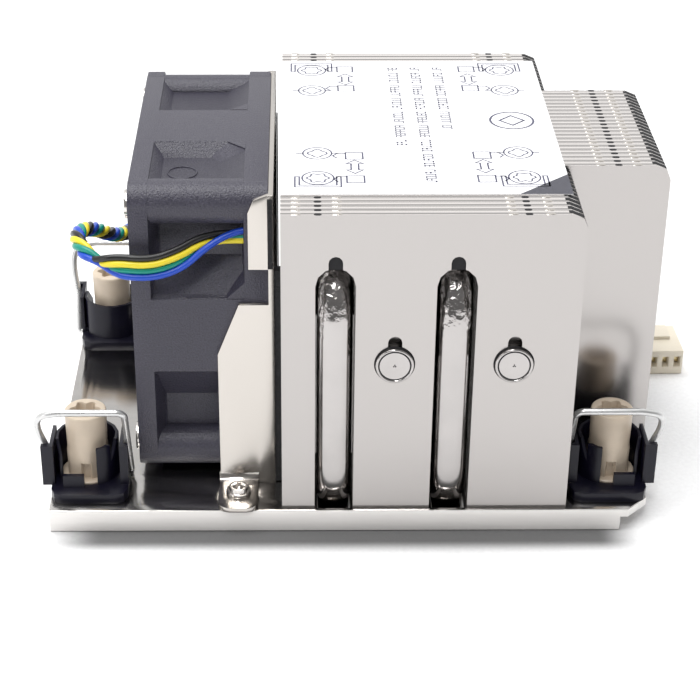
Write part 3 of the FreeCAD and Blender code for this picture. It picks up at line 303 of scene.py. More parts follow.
def rounded(points, rounds):
    """Corner cutting that turns a polyline into a smooth one."""
    spots = [Vector(point) for point in points]
    for _ in range(rounds):
        cut = [spots[0]]
        for start, stop in zip(spots, spots[1:]):
            cut += [start.lerp(stop, 0.25), start.lerp(stop, 0.75)]
        spots = cut + [spots[-1]]
    return spots


def ease(share):
    """Share of a way, held between nothing and all of it, with soft ends."""
    share = min(1, max(0, share))
    return share * share * (3 - 2 * share)


def body_named(node):
    for name, members in frame["record"]["behaviour"]["bodies"].items():
        if node in members:
            return name
    raise ValueError(node)


# ------------------------------------------------------------------ camera, light and floor
CAMERA_SPOT = (-10.19, -332.39, 205.79)
CAMERA_RISE = 29.576
CAMERA_YAW = 0.507
CAMERA_ROLL = 0.104
CAMERA_LENS = 95.03
CAMERA_SHIFT = (0.057, -0.0014)
# name, place, target and size in metres, and power in watts
LAMPS = (
    ("key", (-0.25, 0.05, 1.0), (0, 0, 0.02), (0.8, 0.7), 8.5),
    ("front_left", (-0.75, -0.55, 0.35), (0, 0, 0.03), (0.25, 0.5), 1.3),
    ("front_top", (-0.08, -0.52, 0.85), (0, 0, 0.03), (0.22, 0.22), 2.3),
)
ROOM_DEPTH = (-0.55, 0.25)
ROOM_LEVEL = (0.22, 1.0)


def make_camera():
    """A long lens looking down on the near side."""
    rise, yaw, roll = (math.radians(angle) for angle in (CAMERA_RISE, CAMERA_YAW, CAMERA_ROLL))
    ahead = Vector((math.sin(yaw) * math.cos(rise), math.cos(yaw) * math.cos(rise), -math.sin(rise)))
    right = Vector((math.cos(yaw), -math.sin(yaw), 0))
    up = right.cross(ahead)
    rolled_right = right * math.cos(roll) + up * math.sin(roll)
    rolled_up = up * math.cos(roll) - right * math.sin(roll)
    data = bpy.data.cameras.new("camera")
    data.sensor_width = 36
    data.lens = CAMERA_LENS
    data.shift_x, data.shift_y = CAMERA_SHIFT
    data.clip_start = 0.01
    camera = bpy.data.objects.new("camera", data)
    turn = Matrix((rolled_right, rolled_up, -ahead)).transposed().to_4x4()
    camera.matrix_world = Matrix.Translation(Vector(CAMERA_SPOT) * MM) @ turn
    SCENE.collection.objects.link(camera)
    SCENE.camera = camera


def make_world():
    """Bright backdrop behind the part and a dim room on the camera's side."""
    world = bpy.data.worlds.new("studio")
    SCENE.world = world
    world.use_nodes = True
    tree = world.node_tree
    back = tree.nodes["Background"]
    back.inputs["Color"].default_value = (1, 1, 1, 1)
    depth = component(tree, add(tree, "ShaderNodeTexCoord").outputs["Generated"], "Y")
    tree.links.new(remap(tree, depth, *ROOM_DEPTH, *ROOM_LEVEL), back.inputs["Strength"])


def make_lights():
    for name, spot, target, size, power in LAMPS:
        data = bpy.data.lights.new(name, "AREA")
        data.shape = "RECTANGLE"
        data.size, data.size_y = size
        data.energy = power
        lamp = bpy.data.objects.new(name, data)
        lamp.location = spot
        lamp.rotation_euler = (Vector(target) - Vector(spot)).to_track_quat("-Z", "Y").to_euler()
        SCENE.collection.objects.link(lamp)
    SCENE.view_settings.view_transform = "Standard"
    SCENE.view_settings.look = "None"


# the floor's size and the spans over which its contact shade comes and goes, in metres
FLOOR_HALF = 3.0
FLOOR_DROP = 0.00005
SHADE_LEFT = (-0.0620, -0.0470)
SHADE_RIGHT = (0.0475, 0.0570)
SHADE_NEAR = (-0.0484, -0.0438)
SHADE_UNDER = (-0.0405, -0.0350)
SHADE_SIDE = (-0.0420, 0.0300)
FRONT_DEPTH = 0.85
SIDE_DEPTH = (0.45, 0.10)


def darken_under_plate(material):
    """Soft contact shade on the cloth: deep in front of the base plate, faint along its left side."""
    tree = material.node_tree
    place = add(tree, "ShaderNodeTexCoord").outputs["Object"]
    x, y = component(tree, place, "X"), component(tree, place, "Y")
    inside = joined(tree, "MULTIPLY", remap(tree, x, *SHADE_LEFT, 0.0, 1.0),
                    remap(tree, x, *SHADE_RIGHT, 1.0, 0.0), remap(tree, y, *SHADE_NEAR, 0.0, 1.0))
    front = joined(tree, "MULTIPLY", inside, remap(tree, y, *SHADE_UNDER, FRONT_DEPTH, 0.0))
    side = joined(tree, "MULTIPLY", inside, remap(tree, y, *SHADE_SIDE, *SIDE_DEPTH))
    shade = joined(tree, "MAXIMUM", front, side)
    scale_tone(material, remap(tree, shade, 0.0, 1.0, 1.0, 0.0, "LINEAR"))


def make_floor():
    bm = bmesh.new()
    bm.faces.new([bm.verts.new((x * FLOOR_HALF, y * FLOOR_HALF, -FLOOR_DROP))
                  for x, y in ((-1, -1), (1, -1), (1, 1), (-1, 1))])
    floor = new_object("floor", bm, FLOOR)
    darken_under_plate(FLOOR)


# ------------------------------------------------------------------ finishes on the CAD nodes
WELD_REACH = 0.000002  # metres
SOFT = 38
SOFTER = 52


def soften_group(limit):
    """Node group that shades smooth across edges shallower than the limit."""
    tree = bpy.data.node_groups.new(f"soften_{limit}", "GeometryNodeTree")
    tree.interface.new_socket("Geometry", in_out="INPUT", socket_type="NodeSocketGeometry")
    tree.interface.new_socket("Geometry", in_out="OUTPUT", socket_type="NodeSocketGeometry")
    entry = add(tree, "NodeGroupInput")
    angle = add(tree, "GeometryNodeInputMeshEdgeAngle")
    sharp = add(tree, "FunctionNodeCompare", {0: angle.outputs["Unsigned Angle"], 1: math.radians(limit)},
                data_type="FLOAT", operation="GREATER_THAN")
    faces = add(tree, "GeometryNodeSetShadeSmooth", {"Geometry": entry.outputs[0]}, domain="FACE")
    edges = add(tree, "GeometryNodeSetShadeSmooth",
                {"Geometry": faces.outputs[0], "Selection": sharp.outputs[0], "Shade Smooth": False},
                domain="EDGE")
    add(tree, "NodeGroupOutput", {0: edges.outputs[0]})
    return tree


SOFTEN = {limit: soften_group(limit) for limit in (SOFT, SOFTER)}


def round_edges(thing, width, limit):
    """Small rounded edges wherever faces meet at more than the limit."""
    edge = thing.modifiers.new("bevel", "BEVEL")
    edge.width = width * MM
    edge.segments = 2
    edge.limit_method = "ANGLE"
    edge.angle_limit = math.radians(limit)


def dress(node, material, bevel=0.0, limit=SOFT):
    """Gives a CAD node its material, small rounded edges and smooth shading."""
    thing = NODES[node]
    for slot in thing.material_slots:
        slot.material = material
    weld = thing.modifiers.new("weld", "WELD")
    weld.merge_threshold = WELD_REACH
    if bevel:
        round_edges(thing, bevel, limit)
    shade = thing.modifiers.new("soften", "NODES")
    shade.node_group = SOFTEN[limit]


def dress_all():
    brush_edges(PLATE)
    # painted light on the fin tops, with painted shade lines at the folds
    paint_top_light_and_fold_shade(FIN)
    dress("base_plate", PLATE, 0.25)
    for bank in ("near", "centre", "far"):
        dress(f"fins_{bank}", FIN, limit=SOFTER)
    dress("fan_frame", FAN, 0.3, SOFTER)
    dress("fan_impeller", ROTOR, 0.1, SOFTER)
    dress("fan_bracket", BRACKET, 0.12)
    for side in ("near", "far"):
        dress(f"bracket_screw_{side}", SCREW, 0.12)
    for number in range(1, 5):
        dress(f"fan_screw_{number}", SCREW, 0.1)
    for node in ("fan_shaft", "bearing_front", "bearing_rear", "rotor_cup"):
        dress(node, DARK_METAL)
    dress("rotor_magnet", MAGNET)
    dress("stator_core", STATOR)
    dress("fan_board", BOARD)
    for corner in CORNERS:
        dress(f"clip_{corner}", CLIP, 0.15)
    dress("top_label", LABEL)
    dress("lead_plug", PLUG, 0.25)
    dress("plug_contacts", BRASS, 0.05)


# ------------------------------------------------------------------ heat pipes
PIPE_RADIUS = 3.0
PIPE_BEND = 10.0
PIPE_RUN = 36.6
PIPE_TIP = 40.4
PIPE_LOW = 2.75
PIPE_STEP = 1.2
GROOVE_FLOOR = 0.75
PLATE_TOP = 4.75
LEG_TOP = 10.0
BEND_FROM = PIPE_RUN - PIPE_BEND
# how the pipe is pressed over the bends: length of the change, and power and spread of the section
PRESS_LENGTH = 5
PRESS_POWER = 2.45
PRESS_SPREAD = 1.10
CREASE = 0.03
# the crumpled stretch is past the start of the bends and above this height
CRUMPLED_FROM = BEND_FROM + 1
CRUMPLED_ABOVE = 16
PIPE_FIRST = -3.05
PIPE_PITCH = 10.93
# place along X, side of the bend and height of the upper leg
PIPES = [(PIPE_FIRST + PIPE_PITCH * number, side, top)
         for number, (side, top) in enumerate(((-1, 52.9), (1, 36.4), (-1, 52.9), (1, 36.4)))]


def crinkled_pipe(top):
    """Pipe nickel whose relief grows from smooth to crumpled towards the tight bend."""
    material = surface(f"pipe_crinkle_{top:.0f}", PIPE_NICKEL, metallic=1, rough=0.13, tint=0.04, scale=160,
                       bump=1.0, bump_scale=620, depth=0.0004, rough_swing=0.05)
    tree = material.node_tree
    relief = next(node for node in tree.nodes if node.bl_idname == "ShaderNodeBump")
    height = component(tree, add(tree, "ShaderNodeTexCoord").outputs["Object"], "Z")
    bend = top - PIPE_BEND
    tree.links.new(remap(tree, height, (bend - 3.0) * MM, (bend + 2.5) * MM, 0.02, 1.0),
                   relief.inputs["Strength"])
    return material


def pipe_line(side, top):
    """The pipe's centre line in Y and Z: lower leg, two bends and upper leg."""
    line = [(-PIPE_RUN, PIPE_LOW), (0, PIPE_LOW)]
    line += arc((BEND_FROM, PIPE_LOW + PIPE_BEND), PIPE_BEND, -90, 0, 14)
    line.append((PIPE_RUN, (PIPE_LOW + top) / 2))
    line += arc((BEND_FROM, top - PIPE_BEND), PIPE_BEND, 0, 90, 14)
    line += [(0, top), (-PIPE_TIP, top)]
    spots = [line[0]]
    for (a, b), (c, d) in zip(line, line[1:]):
        parts = max(1, round(math.dist((a, b), (c, d)) / PIPE_STEP))
        spots += [(a + (c - a) * k / parts, b + (d - b) * k / parts) for k in range(1, parts + 1)]
    return [(y * side, z) for y, z in spots]


def make_pipe(number, x, side, top):
    """A drawn pipe, squared and creased where it was bent tight under the solder notch."""
    line = pipe_line(side, top)

    def creased(step, angle):
        y, z = line[step]
        press = min(1, max(0, (y * side - BEND_FROM) / PRESS_LENGTH))
        squared = (abs(math.cos(angle)) ** PRESS_POWER
                   + abs(math.sin(angle) / PRESS_SPREAD) ** PRESS_POWER) ** (-1 / PRESS_POWER)
        reach = 1 + (squared - 1) * press
        if y * side > BEND_FROM + 0.5 and z > top - PIPE_BEND - 1.5:
            reach -= CREASE * abs(noise.noise(Vector((angle * 2.2, step * 0.55, number * 7.0))))
        return reach

    bm = bmesh.new()
    sweep(bm, [Vector((x, y, z)) * MM for y, z in line], PIPE_RADIUS * MM, sides=28, shape=creased)
    for face in bm.faces:
        middle = face.calc_center_median() / MM
        face.material_index = int(middle.y * side > CRUMPLED_FROM and middle.z > CRUMPLED_ABOVE)
    for vertex in bm.verts:
        spot = vertex.co
        lies_flat = spot.y * side < BEND_FROM * MM and spot.z < LEG_TOP * MM
        spot.z = max(spot.z, GROOVE_FLOOR * MM)
        if lies_flat:
            spot.z = min(spot.z, PLATE_TOP * MM)
    pipe = new_object(f"pipe_{number}_drawn", bm, PIPE, crinkled_pipe(top))
    smooth(pipe, 50)
    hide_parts(f"heat_pipe_{number}")
    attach(pipe, "cooler")


# distances from the middle plane, with the radii of what lies there
RIM_OUT = 40.32
RIM_RADIUS = 3.26
RIM_WIRE = 0.27
JOINT_SHADE_RINGS = ((39.74, (3.45, 3.78)), (40.43, (2.78, 3.02)))
DIMPLE_OUT = 40.44
DIMPLE_REACH = 0.2
DIMPLE_RADII = (0.03, 0.13)
NOTCH_BACK = 39.22
NOTCH_HALF = 1.5
NOTCH_RISE = (2.7, 5.9)


def ring_band(bm, centre, radii, steps=40):
    """Flat ring of painted shade that faces along Y."""
    x, y, z = centre
    rings = [row(bm, [(a, y, b) for a, b in loop_points(x, z, radius, steps)]) for radius in radii]
    skin(bm, rings, 1)


def make_pipe_ends():
    """Rolled rim round each closed pipe end, rings of painted shade in the joints inside and outside it, and
    a centre dimple drawn in painted shade.
    """
    bm = bmesh.new()
    for x, bent, z in PIPES:
        side = -bent
        rim = [Vector((x + a, side * RIM_OUT, z + b)) * MM for a, b in loop_points(0, 0, RIM_RADIUS, 48)]
        sweep(bm, rim + rim[:1], RIM_WIRE * MM, sides=10, caps=False)
        for out, radii in JOINT_SHADE_RINGS:
            ring_band(bm, (x, side * out, z), radii)
        for turn in (90, 210, 330):
            a = x + DIMPLE_REACH * math.cos(math.radians(turn))
            b = z + DIMPLE_REACH * math.sin(math.radians(turn))
            ring_band(bm, (a, side * DIMPLE_OUT, b), DIMPLE_RADII, 10)
    ends = new_object("pipe_end_rims", bm, PIPE, PAINTED_SHADE)
    smooth(ends, 50)
    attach(ends, "cooler")


def make_notch_shades():
    """Painted shade: dark sheets behind the solder notches over the bends, where the passage runs on between
    the fins.
    """
    bm = bmesh.new()
    for x, side, top in PIPES:
        low, high = (top + rise for rise in NOTCH_RISE)
        corners = ((-NOTCH_HALF, low), (NOTCH_HALF, low), (NOTCH_HALF, high), (-NOTCH_HALF, high))
        bm.faces.new(row(bm, [(x + a, side * NOTCH_BACK, b) for a, b in corners]))
    shades = new_object("notch_shades", bm, PAINTED_SHADE)
    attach(shades, "cooler")


# ------------------------------------------------------------------ nuts
NUT_X = 50.7
NUT_Y = 29.0
NUT_STEPS = 72
NUT_SEAT = 5.1
NUT_SKIRT = 7.0
NUT_NOTCH_TOP = 10.6
NUT_RADIUS = 4.15
NUT_FLAT = 3.85
NUT_NOTCH_IN = 3.25
NUT_NOTCH_TURN = 12
FLANGE_RADIUS = 5.2
THREAD = 1.65
BORE = 0.4
SOCKET_RADIUS = 2.5
SOCKET_LOBE = 0.42
SOCKET_LIP = 0.12


def flatted(angle):
    """The nut's own radius, trimmed to six flats. These functions take radians."""
    off = (math.degrees(angle) + 30) % 60 - 30
    return min(NUT_RADIUS, NUT_FLAT / math.cos(math.radians(off)))


def notched(angle):
    """The flatted radius with four notches."""
    off = (math.degrees(angle) + 45) % 90 - 45
    return NUT_NOTCH_IN if abs(off) < NUT_NOTCH_TURN else flatted(angle)


def lobed(angle):
    """The radius of the socket with its six lobes."""
    return SOCKET_RADIUS + SOCKET_LOBE * math.cos(6 * angle)


def socket_edge(angle):
    return lobed(angle) + SOCKET_LIP


# heights, each with the radius there or the function that gives it:
# thread, spigot, flange, notches, flats, head and socket
NUT_ROWS = (
    (11.0, BORE), (11.0, THREAD), (1.2, THREAD),
    (1.2, 3.6), (NUT_SEAT, 3.6),
    (NUT_SEAT, 5.05), (NUT_SEAT + 0.15, FLANGE_RADIUS), (NUT_SKIRT - 0.2, FLANGE_RADIUS), (NUT_SKIRT, 5.0),
    (NUT_SKIRT, notched), (NUT_NOTCH_TOP, notched),
    (NUT_NOTCH_TOP, flatted), (12.5, flatted),
    (13.3, 3.9), (19.4, 4.02), (20.0, 4.05), (20.3, 4.0), (20.45, 3.87), (20.5, 3.7),
    (20.5, socket_edge), (20.35, lobed), (15.5, lobed), (15.5, BORE),
)


def make_nut(corner, across, depth):
    """Nut with soft edges and a socket of six rounded lobes."""
    bm = bmesh.new()
    rings = []
    for z, reach in NUT_ROWS:
        ring = []
        for step in range(NUT_STEPS):
            angle = 2 * math.pi * step / NUT_STEPS
            radius = reach(angle) if callable(reach) else reach
            x = NUT_X * across + radius * math.cos(angle)
            y = NUT_Y * depth + radius * math.sin(angle)
            ring.append((x, y, z))
        rings.append(row(bm, ring))
    skin(bm, rings)
    bm.faces.new(rings[0])
    bm.faces.new(rings[-1])
    bmesh.ops.recalc_face_normals(bm, faces=bm.faces)
    nut = new_object(f"nut_{corner}_drawn", bm, NUT)
    smooth(nut, 35)
    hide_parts(f"nut_{corner}")
    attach(nut, body_named(f"nut_{corner}"))


# ------------------------------------------------------------------ wire bails
BAIL_OUTER = 7.65
BAIL_INNER = -8.15
BAIL_REACH = 19.56
BAIL_STUB = 1.75
BAIL_BACK = 1.0
BAIL_PIVOT = 6.1
BAIL_TILT = math.radians(24.5)
STUB_TURN = 0.7
INNER_TURN = 1.6
LEG_STRAIGHT = 8.5
WIRE_RADIUS = 0.66


def make_bail(corner, across, depth):
    """Round wire bent to a handle: tight inner corner, long sweeping outer corner."""
    outer, inner, reach = BAIL_OUTER, BAIL_INNER, BAIL_REACH
    flat = [(outer - BAIL_STUB, 0), (outer - STUB_TURN, 0)]
    flat += arc((outer - STUB_TURN, STUB_TURN), STUB_TURN, -90, 0, 4)
    flat += rounded([(outer, LEG_STRAIGHT), (outer + 1.15, reach - 5.2), (outer + 0.6, reach - 1.1),
                     (outer - 3.2, reach), (outer - 5.0, reach)], 3)
    flat += arc((inner + INNER_TURN, reach - INNER_TURN), INNER_TURN, 90, 180, 6)
    flat.append((inner, LEG_STRAIGHT))
    flat += arc((inner + STUB_TURN, STUB_TURN), STUB_TURN, 180, 270, 4)
    flat.append((inner + BAIL_STUB, 0))
    spots = []
    for lateral, up in flat:
        out = up * math.sin(BAIL_TILT) - BAIL_BACK
        spot = Vector((NUT_X * across + lateral * across, NUT_Y * depth + out * depth,
                       BAIL_PIVOT + up * math.cos(BAIL_TILT))) * MM
        if not spots or (spot - spots[-1]).length > 0.05 * MM:
            spots.append(spot)
    bm = bmesh.new()
    sweep(bm, spots, WIRE_RADIUS * MM)
    bail = new_object(f"bail_{corner}_wire", bm, WIRE)
    smooth(bail, 60)
    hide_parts(f"bail_{corner}")
    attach(bail, body_named(f"bail_{corner}"))


# ------------------------------------------------------------------ marks on the label
LABEL_TOP = 66.80
LABEL_X = (-12.9, 39.6)
LABEL_Y = (-31.5, 35.0)
LABEL_CORNER = (9.6, 8.6)
STROKE = 0.32
THIN_STROKE = 0.3
ROUND_STROKE = 0.45
ROUND_MARK = (32.0, 2.6)
# place and the directions out and up of each group of marks
MARK_GROUPS = ((-6.1, -24.4, 1, 1), (31.6, -24.2, -1, 1), (-6.8, 29.6, 1, -1), (32.2, 29.6, -1, -1))
TAG_OFFSET = 6.88
GROUP_RISE = 11.2
TEXT_TOP = 31.0
TEXT_STEP = 0.98
TEXT_GAP = 1.1
# place, lower end and seed of each row of strokes
TEXT_ROWS = ((19.2, -1.5, 1.0), (14.6, -26.5, 2.0), (10.0, -9.0, 3.0))
TAG = ((-1.6, -1.5), (1.6, -1.5), (1.6, 1.5), (-1.6, 1.5))
TAG_HOOK = ((1.6, 1.1), (3.2, 1.1), (4.0, 0), (3.2, -1.1))
ARROW = ((0, 3.0), (1.6, 1.4), (0.7, 1.4), (0.7, -1.4), (1.6, -1.4), (0, -3.0), (-1.6, -1.4), (-0.7, -1.4),
         (-0.7, 1.4), (-1.6, 1.4))


def stroke(bm, points, closed=False, width=STROKE):
    """Flat ribbon of ink along points on the label."""
    spots = [Vector(point) for point in points]
    count = len(spots)
    edges = []
    for number, here in enumerate(spots):
        before = spots[number - 1] if number or closed else here
        after = spots[(number + 1) % count] if number < count - 1 or closed else here
        ahead = ((here - before).normalized() + (after - here).normalized()).normalized()
        along = (after - here if after != here else here - before).normalized()
        across = Vector((-ahead.y, ahead.x)) * width / 2 / max(0.5, ahead.dot(along))
        edges.append(row(bm, [(*(here + across * hand), LABEL_TOP) for hand in (1, -1)]))
    skin(bm, edges + edges[:1] if closed else edges, closed=False)


def mark_group(bm, x, y, out, up):
    """Generic fitting marks for one corner: ringed lobes in a tray, ringed lobes, tags and arrow."""
    stroke(bm, loop_points(x, y, 2.9, 28), True)
    stroke(bm, loop_points(x, y, 1.8, 36, 0.16), True)
    low, lip, wide, thin = y - 3.9 * up, y + 0.6 * up, 4.2, 3.4
    stroke(bm, [(x - wide, lip), (x - wide, low), (x + wide, low), (x + wide, lip), (x + thin, lip),
                (x + thin, low + 0.8 * up), (x - thin, low + 0.8 * up), (x - thin, lip)], True)
    high = y + GROUP_RISE * up
    stroke(bm, loop_points(x, high, 2.7, 28), True)
    stroke(bm, loop_points(x, high, 1.6, 24, 0.16, 4), True)
    stroke(bm, [(x - 4.0, high), (x - 2.7, high)])
    stroke(bm, [(x + 2.7, high), (x + 4.0, high)])
    tag = x + TAG_OFFSET * out
    for level in (y - 0.6 * up, high - 1.2 * up):
        stroke(bm, [(tag + a, level + b) for a, b in TAG], True)
        stroke(bm, [(tag - a * out, level + b) for a, b in TAG_HOOK])
    middle = y + 5.0 * up
    stroke(bm, [(tag + a, middle + b) for a, b in ARROW], True)


def text_row(bm, x, low, seed):
    """A row of plain upright dashes in groups, standing in for a printed line. It says nothing."""
    place = TEXT_TOP
    number = 0
    while place > low:
        number += 1
        chance = noise.noise(Vector((number * 1.7, seed, 0.3)))
        if number % 7 == 3:
            place -= TEXT_GAP
            continue
        stroke(bm, [(x - 1.0, place), (x + 1.0, place)], width=THIN_STROKE)
        for level, shown in ((-0.85, chance > -0.1), (0.0, chance > 0.1), (0.85, chance < 0.15)):
            if shown:
                stroke(bm, [(x + level, place), (x + level, place - 0.62)], width=THIN_STROKE)
        place -= TEXT_STEP


def make_label_marks():
    bm = bmesh.new()
    for place in MARK_GROUPS:
        mark_group(bm, *place)
    for place in TEXT_ROWS:
        text_row(bm, *place)
    for radius, steps in ((4.2, 32), (2.4, 4)):
        stroke(bm, loop_points(*ROUND_MARK, radius, steps), True, ROUND_STROKE)
    right, near = LABEL_X[1], LABEL_Y[0]
    corner = ((right, near), (right, near + LABEL_CORNER[1]), (right - LABEL_CORNER[0], near))
    bm.faces.new(row(bm, [(x, y, LABEL_TOP) for x, y in corner])).material_index = 1
    bmesh.ops.recalc_face_normals(bm, faces=bm.faces)
    for face in bm.faces:
        face.normal_update()
        if face.normal.z < 0:
            face.normal_flip()
    marks = new_object("label_marks", bm, INK, CORNER_INK)
    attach(marks, "cooler")


# ------------------------------------------------------------------ stitched folds on the fin tops
CENTRE_BANK = 18.5
# tab, tab and hole of each row across the fins
CENTRE_FOLDS = [(46.4, 53.2, 49.7)]
SIDE_FOLDS = [(-10.2, -2.9, -6.3), (28.0, 34.6, 30.8)]
# width, depth and height
TAB = (1.9, 0.85, 0.09)
FOLD_HOLE = (1.35, 0.95, 0.02)
CENTRE_END = 59.6
SIDE_END = 41.4
GAP_HALF = 0.52


def patch(bm, x, y, width, depth, height, slot):
    """Low pillow with rounded corners lying on the fin tops."""
    low, high = FIN_TOP * MM, (FIN_TOP + height) * MM
    turn = min(width, depth) / 2 * 0.8
    outline = []
    for start, a, b in ((0, 1, 1), (90, -1, 1), (180, -1, -1), (270, 1, -1)):
        outline += arc((x + a * (width / 2 - turn), y + b * (depth / 2 - turn)), turn, start, start + 90, 3)
    base = [bm.verts.new((p * MM, q * MM, low)) for p, q in outline]
    top = [bm.verts.new(((x + (p - x) * 0.8) * MM, (y + (q - y) * 0.8) * MM, high)) for p, q in outline]
    bm.faces.new(top).material_index = slot
    skin(bm, [base, top], slot)


def corner_gap(bm, end, y):
    """Painted shade: a dark sheet in the opening between two fins at their rounded outlet corner."""
    side_view = [(end - 3.5, FIN_TOP + 0.03), (end - 2.9, FIN_TOP + 0.03), (end - 0.86, FIN_TOP - 0.85),
                 (end + 0.03, FIN_TOP - 3.0)]
    rows = [row(bm, [(x, y + GAP_HALF * hand, z) for hand in (-1, 1)]) for x, z in side_view]
    for first, second in zip(rows, rows[1:]):
        bm.faces.new((first[0], second[0], second[1], first[1])).material_index = 1


def make_folds():
    """Bright interlocking tabs and slots of painted shade in rows across the folded fin tops."""
    bm = bmesh.new()
    half = FIN_PITCH * (FIN_COUNT - 1) / 2
    for number in range(FIN_COUNT):
        y = FIN_PITCH * number - half
        rows = CENTRE_FOLDS if abs(y) < CENTRE_BANK else []
        if y < LABEL_Y[0] - 0.6 or y > LABEL_Y[1] + 0.6:
            rows = rows + SIDE_FOLDS
        for tab_a, tab_b, hole in rows:
            patch(bm, tab_a, y, *TAB, 0)
            patch(bm, tab_b, y, *TAB, 0)
            # the slot is a low patch of painted shade
            patch(bm, hole, y, *FOLD_HOLE, 1)
    for number in range(FIN_COUNT - 1):
        y = FIN_PITCH * (number + 0.5) - half + 0.1
        corner_gap(bm, CENTRE_END if abs(y) < CENTRE_BANK + 0.2 else SIDE_END, y)
    folds = new_object("fold_details", bm, BRACKET, PAINTED_SHADE)
    smooth(folds, 30)
    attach(folds, "cooler")


# ------------------------------------------------------------------ moulded details of the fan frame
FAN_HALF = 30.0
FAN_Z = 37.0
FLANGES = ((-40.61, -37.0), (-19.6, -15.22))
FLANGE_TURN = 1.8
FLANGE_FROM = 26.0
HAIR = 0.01
CORNER_RADIUS = 4.0
CORNER_SWELL = 0.09
CORNER_STEPS = 24
POCKET_X = (-36.98, -19.62)
POCKET_Y = (8.0, 26.3)
POCKET_RIM = 0.3
# the corner cut off each pocket, at its rim and at its floor
RIM_CUT = (3.4, 3.2)
FLOOR_CUT = (2.2, 2.6)
# quarter turns, end, depth and the widths of the slopes towards the inlet, the outlet and the middle
POCKETS = (
    (0, -1, 2.6, 2.0, 4.0, 2.0), (0, 1, 2.6, 2.0, 4.0, 2.0),
    (1, -1, 2.2, 2.0, 4.6, 2.2), (1, 1, 2.2, 2.0, 4.6, 2.2),
    (3, -1, 2.6, 2.0, 4.0, 2.0), (3, 1, 2.6, 2.0, 4.0, 2.0),
    (2, 1, 4.4, 1.6, 0.4, 2.4), (2, -1, 4.4, 1.6, 0.4, 2.4),
)
RAISED_RING = (-31.2, 27.86, 17.6)
RING_RADIUS = 2.7
RING_WIRE = 0.16
RING_STEPS = 28


def fan_spot(x, outward, sideways, turn):
    """Point on the frame, given for the far side and turned in quarters round the fan's axis."""
    y, z = outward, sideways
    for _ in range(turn):
        y, z = -z, y
    return (x, y, FAN_Z + z)


def flange_corner(bm, start, stop):
    """Fills out the far top corner of a flange."""
    edge = FAN_HALF + HAIR
    outline = [(FLANGE_FROM, FLANGE_FROM), (edge, FLANGE_FROM - 0.4)]
    outline += arc((edge - FLANGE_TURN, edge - FLANGE_TURN), FLANGE_TURN, 0, 90, 8)
    outline.append((FLANGE_FROM - 0.4, edge))
    rows = [row(bm, [fan_spot(x, a, b, 0) for a, b in outline]) for x in (start, stop)]
    skin(bm, rows)
    bm.faces.new(rows[0])
    bm.faces.new(rows[1])


def pocket(bm, turn, hand, deep, left, right, low):
    """Dished floor with sloping borders, and the web that closes the cut corner; floor and outlet slope carry
    painted shade.
    """
    (x0, x1), (y0, y1) = POCKET_X, POCKET_Y
    cut_x, cut_y = RIM_CUT
    rim = [(x0, y0), (x1 - cut_x, y0), (x1, y0 + cut_y), (x1, y1), (x0, y1)]
    x2, x3, y2 = x0 + left, x1 - right, y0 + low
    floor = [(x2, y2), (x3 - FLOOR_CUT[0], y2), (x3, y2 + FLOOR_CUT[1]), (x3, y1), (x2, y1)]
    outer = row(bm, [fan_spot(x, FAN_HALF - POCKET_RIM, a * hand, turn) for x, a in rim])
    inner = row(bm, [fan_spot(x, FAN_HALF - deep, a * hand, turn) for x, a in floor])
    bm.faces.new(inner).material_index = 1
    for first, second in ((0, 1), (1, 2), (2, 3), (4, 0)):
        wall = bm.faces.new((outer[first], outer[second], inner[second], inner[first]))
        wall.material_index = int(second == 3)
    web, foot = FAN_HALF - HAIR, FAN_HALF - POCKET_RIM
    cover = ((x1 - cut_x, web, y0 - 0.1), (x1, web, y0 - 0.1), (x1, web, y0 + cut_y))
    lip = ((x1 - cut_x, web, y0 - 0.1), (x1, web, y0 + cut_y), (x1, foot, y0 + cut_y), (x1 - cut_x, foot, y0))
    for outline in (cover, lip):
        bm.faces.new(row(bm, [fan_spot(x, out, a * hand, turn) for x, out, a in outline]))


def corner_strip(bm, turn, start, stop, first, last):
    """Round corner laid a hair over the solid's many-sided one."""
    rows = []
    for step in range(CORNER_STEPS + 1):
        angle = math.radians(first + (last - first) * step / CORNER_STEPS)
        if 0 < angle < math.pi / 2:
            swell = CORNER_SWELL * math.sin(2 * angle)
        else:
            swell = CORNER_SWELL if abs(angle - math.pi / 4) > 1.0 else 0
        radius = CORNER_RADIUS + swell
        a, b = (min(FAN_HALF, FAN_HALF - CORNER_RADIUS + radius * part)
                for part in (math.cos(angle), math.sin(angle)))
        rows.append(row(bm, [fan_spot(x, a, b, turn) for x in (start, stop)]))
    skin(bm, rows, closed=False)


def make_fan_details():
    """Square flange corners, dished pockets, rounder corners and a plain raised ring."""
    bm = bmesh.new()
    for reach in FLANGES:
        flange_corner(bm, *reach)
    for sizes in POCKETS:
        pocket(bm, *sizes)
    for turn in range(4):
        corner_strip(bm, turn, *POCKET_X, -58, 148)
        for reach in FLANGES if turn else ():
            corner_strip(bm, turn, *reach, 0, 90)
    bmesh.ops.recalc_face_normals(bm, faces=bm.faces)
    x, out, along = RAISED_RING
    ring = [Vector(fan_spot(x + RING_RADIUS * math.cos(a), out, along + RING_RADIUS * math.sin(a), 1)) * MM
            for a in (2 * math.pi * step / RING_STEPS for step in range(RING_STEPS + 1))]
    sweep(bm, ring, RING_WIRE * MM, sides=8, caps=False)
    details = new_object("fan_frame_details", bm, FAN, FAN_PAINTED_SHADE)
    round_edges(details, 0.25, 60)
    smooth(details, 25)
    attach(details, "cooler")


